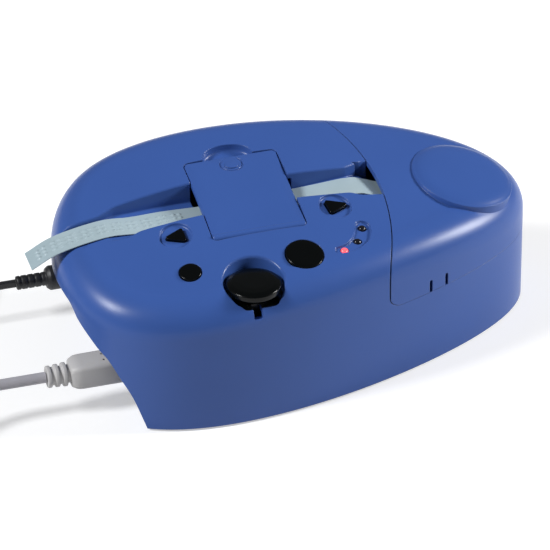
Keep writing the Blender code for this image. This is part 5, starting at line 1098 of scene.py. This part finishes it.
def knuckles(target, spans, web):
    """Round knuckles on the lid's hinge line, with webs that run into the wall."""
    pin = Vector(HINGE_LEAN).normalized()
    up = Vector((0.0, 0.0, 1.0))
    place = frame_of(HINGE_AT, pin, up.cross(pin).normalized(), up)
    for low, high in spans:
        ends = [place @ Vector((x, 0.0, 0.0)) for x in (low, high)]
        join(target, rod("knuckle", *ends, KNUCKLE_RADIUS))
        arm = block("web", (low, high), (0.0, WEB_REACH), web, 0.0)
        arm.data.transform(Matrix.Translation(-SHIFT))
        arm.data.transform(Matrix.Translation(SHIFT) @ place)
        join(target, arm)
    ends = [place @ Vector((x, 0.0, 0.0)) for x in (-0.02, 0.02)]
    return cut(target, rod("hinge_bore", *ends, HINGE_BORE))


def build_shell():
    """The housing: a hollow skin with its undercut end, seam, hatch opening, channels and recesses."""
    shell = skin("housing_shell", 0.0)
    cut(shell, hollow_body())
    left = -HALF_LENGTH - 2 * OVERRUN
    line = smooth_route([(x, 0.0, z) for x, z in zip(UNDERCUT_X, UNDERCUT_Z)], 0.0012)
    xs = [UNDERCUT_X[0], *line[:, 0], left, left]
    zs = [-OVERRUN, *line[:, 2], UNDERCUT_Z[-1], -OVERRUN]
    cut(shell, side_prism("undercut", xs, zs, (-WIDE, WIDE)))
    relief = [(x, *DC_AT) for x in (-HALF_LENGTH - OVERRUN, RELIEF_END)]
    cut(shell, rod("plug_relief", *relief, RELIEF_RADIUS, 0.0, 48), seam_body("seam", 0.0))
    outline = cover_outline(COVER_Y[0] - 0.0005, 0.0)
    outline = soften(outline, [0.0022] * 2 + [0.0] * (len(outline) - 2), 6, True)
    cut(shell, through("cover_opening", outline, COVER_FLOOR, HIGH))
    span = (LABEL_X[0] - OVERRUN, LABEL_X[-1] + 0.0003)
    cut(shell, channel("left_channel", span, LEFT_FRONT, LEFT_BACK, (LABEL_X, LABEL_Z), 0.0010))
    supply = (SUPPLY_X, SUPPLY_Z)
    cut(shell, channel("right_channel", RIGHT_SPAN, RIGHT_FRONT, RIGHT_BACK, supply, 0.0009))
    slot_z = (CUT_SLOT_Z, CUT_FLOOR + 0.003)
    slot = block("knob_slot", CUT_SLOT_X, (CUT_SLOT_FRONT, -0.0505), slot_z, 0.0004)
    cut(shell, through("corner_hole", CORNER_HOLE, CORNER_FLOOR, HIGH), knob_recess(), slot)
    wide, deep, _ = NOTCH_RADII
    notch = [(NOTCH_X + wide * x, COVER_Y[1] + deep * y) for x, y in circle((0.0, 0.0), 1.0, 72)]
    cut(shell, pocket("finger_notch", notch, NOTCH_DEPTH, NOTCH_FOOT))
    for dish in (BACK_DISH, FORWARD_DISH):
        cut(shell, pocket("dish", circle(dish, DISH_RADIUS), DISH_DEPTH, DISH_FOOT))
    cut(shell, pocket("lamp_slot", arc_band(), LAMP_SLOT_DEPTH, LAMP_SLOT_FOOT, "ladder"), key_holes())
    knuckles(shell, ((-0.004, 0.004),), (-KNUCKLE_RADIUS, -0.0003))
    return piece(follow_skin(shell), "housing", BLUE, "blue_plastic", "main_shell", degrees=0)


def dome_profile(radius, foot):
    """The lid's round bulge: a low cap with a rounded edge."""
    flat = radius - DOME_EDGE
    profile = []
    for share in np.linspace(0.0, 1.0, 25):
        profile.append((flat * share, DOME_RISE * (1.0 - share**2 * (0.30 + 0.70 * share**6))))
    low = profile[-1][1] - DOME_EDGE
    for angle in arc_steps(4)[1:]:
        profile.append((flat + DOME_EDGE * math.sin(angle), low + DOME_EDGE * math.cos(angle)))
    return profile + [(radius, foot), (0.0, foot)]


def build_lid():
    """The lid over the tape bay, with its bulge, two slots for its snap tab and two of the hinge's
    knuckles.
    """
    lid = skin("lid", 0.0)
    place = frame_at(DOME_AT, Vector(DOME_LEAN).normalized())
    join(lid, lathe("dome", dome_profile(DOME_RADIUS, -DOME_DEPTH), place, 128))
    cut(lid, skin("lid_hollow", WALL, 2, 6))
    inner = place @ Matrix.Translation((0.0, 0.0, -WALL))
    foot = -DOME_DEPTH - OVERRUN + WALL
    cut(lid, lathe("dome_hollow", dome_profile(DOME_RADIUS - WALL, foot), inner, 64))
    cut(lid, seam_body("lid_region", SEAM_GAP), operation="INTERSECT")
    half = TAB_SLOT_HALF
    slots = []
    for x, y in TAB_SLOTS:
        outline = [(x - half, TAB_SLOT_Z[0]), (x + half, TAB_SLOT_Z[0])]
        outline += circle((x, TAB_SLOT_Z[1] - half), half, 13, 0.0, 180.0)
        slots.append(side_prism("tab_slot", *zip(*outline), (y - TAB_SLOT_REACH, y + TAB_SLOT_REACH)))
    cut(lid, merge("tab_slots", slots))
    knuckles(lid, ((0.0044, 0.0094), (-0.0094, -0.0044)), (0.0007, 0.0026))
    return piece(follow_skin(lid), "lid", BLUE, "blue_plastic", "tape_lid", degrees=0)


def build_cover():
    """The square hatch over the embossing head, with its engraved ring and the ears of its roller."""
    outline = np.array(soften(cover_outline(COVER_AXIS[0] - 0.0006, COVER_GAP), 0.0006, 3, True))
    middle = outline.mean(0)
    reach = grown(outline, -COVER_EDGE) - middle
    rings = [on_crown(middle + reach * share, COVER_THICK) for share in (0.25, 0.5, 0.75, 1.0)]
    rings.append(on_crown(outline, COVER_THICK - COVER_EDGE))
    for angle in arc_steps(4):
        plan = grown(outline, COVER_EDGE * (math.cos(angle) - 1.0))
        rings.append(on_crown(plan, COVER_EDGE * (1.0 - math.sin(angle))))
    rings += [on_crown(middle + reach * share, 0.0) for share in (0.8, 0.6, 0.4, 0.2)]
    top = crown(*middle)
    cover = loft("cover", rings, (*middle, top - COVER_THICK), (*middle, top))
    trim = ((-0.045, 0.005), (COVER_AXIS[0] - 0.004, COVER_AXIS[0] + 0.0001))
    cut(cover, block("cover_trim", *trim, (COVER_AXIS[1] - 0.004, HIGH), 0.0))
    groove = soften(MARK_GROOVE, 0.0002, 3)
    cut(cover, lathe("mark_groove", groove, seat(*MARK_AT), 64, True))
    at = (*MARK_AT, crown(*MARK_AT) - 0.0001)
    join(cover, ellipsoid("mark_dome", at, MARK_DOME))
    xs = (COVER_X[0] + COVER_GAP, COVER_X[1] - COVER_GAP)
    nose = rod("nose", *[(x, *COVER_AXIS) for x in xs], NOSE_RADIUS, 0.0006, 48)
    ends = [(x, *COVER_AXIS) for x in (xs[0] - PIN_PROUD, xs[1] + PIN_PROUD)]
    ears = [block("ear", EAR_X, ys, (EAR_FOOT, top), 0.0002) for ys, top in EARS]
    join(cover, nose, rod("pins", *ends, PIN_RADIUS, 0.0, 16), *ears)
    ends = [(PINCH_AT[0], y, PINCH_AT[1]) for y in (-0.009, 0.012)]
    cut(cover, rod("pinch_bore", *ends, PINCH_BORE, 0.0, 16))
    return piece(follow_skin(cover), "cover", BLUE, "blue_plastic", "head_cover", degrees=0)


def build_keys():
    """The round keys, the triangular ones and the three lamps."""
    for name, node, at, radius, lean, body in (
        ("set_key_cap", "set_button", SET_AT, SET_RADIUS, RIGHT_BOARD_AT, "set_key"),
        ("reset_key_cap", "reset_button", RESET_AT, RESET_RADIUS, LEFT_BOARD_AT, "reset_key"),
    ):
        flange = radius + KEY_FLANGE
        low, high = KEY_UNDER
        rows = [(0.0, KEY_TOP - 0.0001, 0.0), (radius * 0.6, KEY_TOP - 0.00005, 0.0)]
        rows += [(radius, KEY_TOP, 0.0005), (radius, high, 0.0002), (flange, high, 0.0002)]
        rows += [(flange, low, 0.0002), (STEM_RADIUS, low, 0.0), (STEM_RADIUS, STEM_END, 0.0002)]
        profile = turned_profile([*rows, (0.0, STEM_END, 0.0)])
        piece(lathe(name, profile, seat(*at, lean), 72), body, BLACK, "black_plastic", node)
    for name, node, place, corners, body in (
        ("back_arrow_cap", "back_key", LEFT_FRAME, BACK_KEY, "back_arrow_key"),
        ("forward_arrow_cap", "forward_key", RIGHT_FRAME, FORWARD_KEY, "forward_arrow_key"),
    ):
        cap = slab(name, arrow_outline(place, corners), -0.0035, 0.0002, 0.0003, place)
        flange = through("flange", circle((0.0, 0.0), ARROW_FLANGE, 40), *KEY_UNDER, place)
        stem = through("stem", circle((0.0, 0.0), STEM_RADIUS, 16), STEM_END, -0.0030, place)
        piece(join(cap, flange, stem), body, BLACK, "black_plastic", node)
    for name, node, at, finish, slot in (
        ("front_lamp_lens", "red_lamp", LAMPS[0], RED, "red_lens"),
        ("middle_lamp_lens", "middle_lamp", LAMPS[1], SMOKE, "smoke_lens"),
        ("rear_lamp_lens", "rear_lamp", LAMPS[2], SMOKE, "smoke_lens"),
    ):
        bend = arc_steps(8)
        profile = [(LAMP_RADIUS * math.sin(a), LAMP_EDGE + LAMP_TOP * math.cos(a)) for a in bend]
        profile += [(LAMP_RADIUS, LAMP_END), (0.0, LAMP_END)]
        lens = lathe(name, profile, seat(*at, RIGHT_BOARD_AT), 32)
        piece(lens, "housing", finish, slot, node)


def build_knob():
    """The black cutter knob, its stem, a black disc under it as painted shade on the recess floor, and its
    spring.
    """
    r = KNOB_RADIUS
    rows = [(0.0, 0.0586, 0.0), (r * 0.5, 0.0586, 0.004), (r * 0.8, 0.0584, 0.003)]
    rows += [(r, 0.0576, 0.0007), (r, 0.0552, 0.0004), (0.003, 0.0552, 0.0), (0.003, 0.0465, 0.0003)]
    rows += [(0.001, 0.0465, 0.0), (0.001, 0.0413, 0.0002), (0.0, 0.0413, 0.0)]
    knob = lathe("cutter_knob", turned_profile(rows, 5), Matrix.Translation((*KNOB_AT, 0.0)), 96)
    piece(knob, "knob", BLACK, "black_plastic", "cut_button")
    # Painted shade: a black disc on the recess floor makes the hollow round the knob read dark.
    disc = circle(CUT_AT, SHADE_DISC_RADIUS, 64)
    shade_disc = through("knob_shade_disc", disc, CUT_FLOOR - 0.0001, CUT_FLOOR + 0.0004)
    cut(shade_disc, skin("shade_disc_bound", 0.0003, 2, 10), operation="INTERSECT")
    bore = through("shade_disc_bore", circle(KNOB_AT, SHADE_DISC_BORE, 32), 0.050, 0.053)
    cut(shade_disc, bore, block("shade_disc_slot", CUT_SLOT_X, (CUT_SLOT_FRONT, -0.0507), (0.047, 0.054), 0.0))
    # A black plate across the slot: painted shade in the slot.
    apron = (CUT_SLOT_X[0] + 0.0001, CUT_SLOT_X[1] - 0.0001)
    join(shade_disc, block("shade_disc_apron", apron, (-0.0510, -0.0506), (0.0478, 0.0517), 0.0))
    piece(shade_disc, "housing", BLACK, "black_plastic", "cut_button")
    wire = []
    for share in np.linspace(0.0, 1.0, SPRING_TURNS * 24 + 1):
        at = polar(KNOB_AT, SPRING_RADIUS, 360.0 * SPRING_TURNS * share)
        wire.append((*at, SPRING_LOW + SPRING_RISE * share))
    spring = sweep("knob_spring", wire, circle((0.0, 0.0), SPRING_WIRE, 8))
    piece(spring, "housing", STEEL, "steel", "cut_spring", degrees=60.0)
    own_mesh(spring)


def strip(name, line, ys, dots=()):
    """A strip of tape along a line of (x, z) points, with raised dots pressed up through it."""
    run = np.array(line)
    ahead = unit(np.gradient(run, axis=0))
    normal = np.stack([-ahead[:, 1], ahead[:, 0]], 1)
    across = np.linspace(*ys, 39 if dots else 5)
    height = np.zeros((len(run), len(across)))
    for x, y in dots:
        away = (run[:, 0, None] - x) ** 2 + (across[None] - y) ** 2
        bulge = np.clip(1.0 - away / DOT_RADIUS**2, 0.0, 1.0) ** 0.8
        height = np.maximum(height, DOT_RISE * bulge)
    half = TAPE_THICKNESS / 2
    rings = []
    for at, up, rises in zip(run, normal, height):
        upper, lower = [
            [(at[0] + up[0] * (h + side), y, at[1] + up[1] * (h + side)) for y, h in zip(across, rises)]
            for side in (half, -half)
        ]
        rings.append(upper + lower[::-1])
    return loft(name, rings, "ladder", "ladder")


def fine_line(xs, zs, step):
    """A smooth line in X and Z through a strip's stations."""
    route = smooth_route([(x, 0.0, z) for x, z in zip(xs, zs)], step)
    return [(point[0], point[2]) for point in route]


def build_tape():
    """The embossed label, the tape on its way to it, the wound roll and the reel's core."""
    middle = sum(TAPE_Y) / 2
    dots = []
    for cell in range(CELLS):
        start = FIRST_CELL + CELL_PITCH * cell
        for column in (0.0, DOT_PITCH):
            dots += [(start + column, middle + row) for row in (-DOT_PITCH, 0.0, DOT_PITCH)]
    label = strip("embossed_label", fine_line(LABEL_X, LABEL_Z, 0.00036), TAPE_Y, dots)
    piece(label, "housing", TAPE, "tape_vinyl", "tape_label", degrees=50.0)
    reel_x, reel_z = REEL_AT
    inner, outer = ROLL_RADII
    reach = outer + TAPE_CLEAR
    away = Vector((SUPPLY_X[-1] - reel_x, SUPPLY_Z[-1] - reel_z))
    turn = math.atan2(away.y, away.x) - math.acos(reach / away.length)
    line = fine_line(SUPPLY_X, SUPPLY_Z, 0.0015)
    line.append((reel_x + reach * math.cos(turn), reel_z + reach * math.sin(turn)))
    piece(strip("supply_tape", line, TAPE_Y), "housing", TAPE, "tape_vinyl", "tape_supply", degrees=50.0)
    place = frame_at((reel_x, TAPE_Y[0], reel_z), (0.0, 1.0, 0.0))
    width = TAPE_Y[1] - TAPE_Y[0]
    corners = [(inner, width), (outer, width), (outer, 0.0), (inner, 0.0)]
    roll = lathe("wound_tape", soften(corners, 0.0002, 2, True), place, 128, True)
    piece(roll, "reel", ROLL, "tape_vinyl", "tape_roll")
    core = lathe("reel_flange", soften(FLANGE_PROFILE, 0.0003, 2, True), place, 96, True)
    windows = []
    for x, y in circle((0.0, 0.0), 0.0170, 6):
        spot = place @ Vector((x, y, 0.0))
        windows.append(rod("window", spot, spot + Vector((0.0, 0.02, 0.0)), 0.0028))
    cut(core, merge("windows", windows))
    piece(core, "reel", WHITE, "white_plastic", "reel_core")


def section_at(x, middle, width, height, corner):
    """A rounded rectangle across X."""
    outline = soften(rectangle((-width / 2, width / 2), (-height / 2, height / 2)), corner, 6, True)
    return [(x, middle[0] + y, middle[1] + z) for y, z in outline]


def plug_rings(middle, size, stations, corner):
    """Rounded sections of a plug, each larger than its size by the margin of its station."""
    wide, high = size
    return [section_at(x, middle, wide + 2 * g, high + 2 * g, corner) for x, g in stations]


def row_of_blocks(name, xs, middles, half, zs, edge):
    """Equal blocks side by side, as one mesh."""
    return merge(name, [block("part", xs, (y - half, y + half), zs, edge) for y in middles])


def build_usb_plug():
    """The grey plug in the housing's end: its grip, its ribbed sleeve and its metal tip."""
    wide, high = USB_SIZE
    rings = plug_rings(USB_AT, USB_SIZE, USB_FRONT, 0.0016)
    rings += [section_at(x, USB_AT, wide * share, high * share, 0.0018) for x, share in USB_TAPER]
    plug = loft("usb_plug_body", rings)
    length, neck, foot = 0.0092, 0.0037, -0.0012
    corners = [(0.0, length), (0.0034, length)]
    for k in range(3):
        rib, far = 0.00445 + 0.0002 * k, length - 0.0031 * k
        corners += [(rib, far), (rib, far - 0.0017), (neck, far - 0.0017), (neck, far - 0.0031)]
    corners = corners[:-1] + [(neck, foot), (0.0, foot)]
    radii = [0.0, 0.0] + [0.0004] * (len(corners) - 4) + [0.0, 0.0]
    sleeve = frame_at((USB_END, *USB_AT), LEFTWARDS)
    join(plug, lathe("usb_sleeve", soften(corners, radii, 3), sleeve, 48))
    y, z = USB_AT
    for side in (y - 0.0021, y + 0.0021):
        ends = [(-0.0871, side, z + rise) for rise in (0.0045, 0.0060)]
        cut(plug, rod("grip_pit", *ends, 0.00055, 0.0, 24))
    field = ((-0.0852, -0.0780), (y - 0.0036, y + 0.0036), (z + 0.0044, z + 0.00555))
    join(plug, block("grip_mark", *field, 0.00028))
    piece(plug, "housing", PALE_GREY, "grey_plastic", "usb_plug")
    tip = block("usb_plug_shell", (-0.0769, -0.0641), (-0.03121, -0.02279), (0.01352, 0.02128), 0.0006)
    piece(tip, "housing", STEEL, "steel", "usb_plug")


def build_dc_plug():
    """The black low-voltage plug, with four fine grooves in its sleeve."""
    rows = [(0.0, 0.0, 0.0), (0.00175, 0.0, 0.0002), (0.00175, 0.0104, 0.0), (0.0051, 0.0104, 0.0005)]
    rows += [(0.0051, 0.0265, 0.0008), (0.0040, 0.0280, 0.0006), (0.0029, 0.0280, 0.0004)]
    for k in range(4):
        low = 0.0296 + 0.0028 * k
        rows += [(0.0029, low, 0.00015), (0.00265, low, 0.00015)]
        rows += [(0.00265, low + 0.0008, 0.00015), (0.0029, low + 0.0008, 0.00015)]
    rows += [(0.0029, 0.0403, 0.0005), (0.0, 0.0403, 0.0)]
    plug = lathe("dc_plug_body", turned_profile(rows, 3), frame_at((DC_HEAD, *DC_AT), LEFTWARDS), 48)
    piece(plug, "housing", BLACK_SATIN, "black_plastic", "dc_plug")


def build_host_plug():
    """The plug on the USB cord's far end, with two windows in its metal tip."""
    host = loft("host_plug_body", plug_rings(HOST_AT, HOST_SIZE, HOST_STATIONS, 0.0015))
    y, z = HOST_AT
    join(host, ellipsoid("host_grip", (-0.2190, y, z + 0.0039), (0.0060, 0.0045, 0.0004), 32))
    piece(host, "housing", PALE_GREY, "grey_plastic", "usb_host_plug")
    tip = block("host_plug_shell", (-0.2460, -0.2335), (-0.0549, -0.0429), (0.00205, 0.00655), 0.0004)
    window = ((-0.2425, -0.2400), (-0.0517, -0.0461), 0.0012, (0.0055, 0.0075), 0.0)
    cut(tip, row_of_blocks("windows", *window))
    piece(tip, "housing", STEEL, "steel", "usb_host_plug")
    return host


def build_adapter():
    """The small mains adapter, with the seam round its middle, the cord's nose and two flat prongs."""
    outline = soften(rectangle(ADAPTER_X, ADAPTER_Y), 0.003, 6, True)
    adapter = slab("adapter_body", outline, *ADAPTER_Z, 0.0012, None, 4)
    seam = slab("seam", grown(outline, 0.001), 0.0127, 0.0132, 0.0001)
    cut(seam, slab("seam_core", grown(outline, -0.0004), 0.0120, 0.0140, 0.0001))
    cut(adapter, seam)
    nose = [(x, 0.0420, 0.0050) for x in (-0.1850, -0.18405)]
    join(adapter, rod("adapter_nose", *nose, 0.0030, 0.0004))
    piece(adapter, "housing", BLACK_SATIN, "black_plastic", "power_adapter")
    prong = ((-0.2460, -0.2285), (0.0357, 0.0483), 0.00075, (0.00995, 0.01635), 0.0003)
    prongs = row_of_blocks("adapter_prongs", *prong)
    piece(prongs, "housing", STEEL, "steel", "power_adapter")
    return adapter


NODE_FINISHES = (
    (INNER_BLUE, "base_plate connector_bay bulkhead"),
    (BLACK_SATIN, "dc_jack"),
    (SHADE_GREY, "emboss_solenoid"),
    (WHITE, "roller_gear idler_gear"),
    (RUBBER, "foot_1 foot_2 foot_3 foot_4 feed_roller pinch_roller"),
    (BRASS, "emboss_die motor_pinion"),
    (BOARD, "main_board socket_board left_key_board right_key_board"),
    (STEEL, "base_screw_1 base_screw_2 base_screw_3 base_screw_4 lid_hinge_pin rocker_pin cut_rocker"),
    (STEEL, "cutter_blade anvil usb_jack mechanism_frame stepper_motor pin_comb reel_spindle"),
    (STEEL, "reel_bracket"),
)


def finish_nodes():
    """The model's own nodes that stay in view get their finishes."""
    for finish, names in NODE_FINISHES:
        for name in names.split():
            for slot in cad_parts[name].material_slots:
                slot.material = finish


def light_stage():
    """A plain pale floor, a soft box high on each side, and a weak even surround."""
    built = bmesh.new()
    bmesh.ops.create_circle(built, cap_ends=True, segments=96, radius=4.0)
    floor = show("floor", built)
    f = Finish("pale_floor")
    base = f.mix(f.noise(3.0, 2.0), (0.65, 0.65, 0.65, 1.0), (0.67, 0.67, 0.67, 1.0))
    rays = ("Is Camera Ray", "Is Glossy Ray", "Is Transmission Ray")
    camera, glossy, transmission = [f.node("LightPath", out=ray) for ray in rays]
    seen = f.clamp(camera + glossy + transmission)
    lift = f.mix(seen, (0.0, 0.0, 0.0, 1.0), (0.46, 0.46, 0.46, 1.0))
    floor.data.materials.append(f.close(base, 0.9, None, emission_color=lift, emission_strength=1.0))
    for name, place, size, power, tint in (
        ("left_box", (-1.25, -0.10, 1.15), 0.38, 25.0, (0.98, 0.99, 1.0)),
        ("right_box", (1.57, -0.24, 0.80), 0.46, 32.0, (1.0, 0.99, 0.98)),
    ):
        lamp = bpy.data.lights.new(name, "AREA")
        lamp.shape = "SQUARE"
        lamp.size = size
        lamp.energy = power
        lamp.color = tint
        box = bpy.data.objects.new(name, lamp)
        box.matrix_world = frame_at(place, Vector(place) - Vector((0.0, 0.0, 0.03)))
        SCENE.collection.objects.link(box)
    world = bpy.data.worlds.new("surround")
    world.use_nodes = True
    sky = world.node_tree.nodes["Background"].inputs
    sky["Color"].default_value = (1.0, 1.0, 1.0, 1.0)
    sky["Strength"].default_value = 0.12
    SCENE.world = world
    SCENE.view_settings.view_transform = "Standard"


build_usb_plug()
build_dc_plug()
lay_cords(build_host_plug(), build_adapter())
build_shell()
build_lid()
build_cover()
build_keys()
build_knob()
build_tape()
finish_nodes()
light_stage()
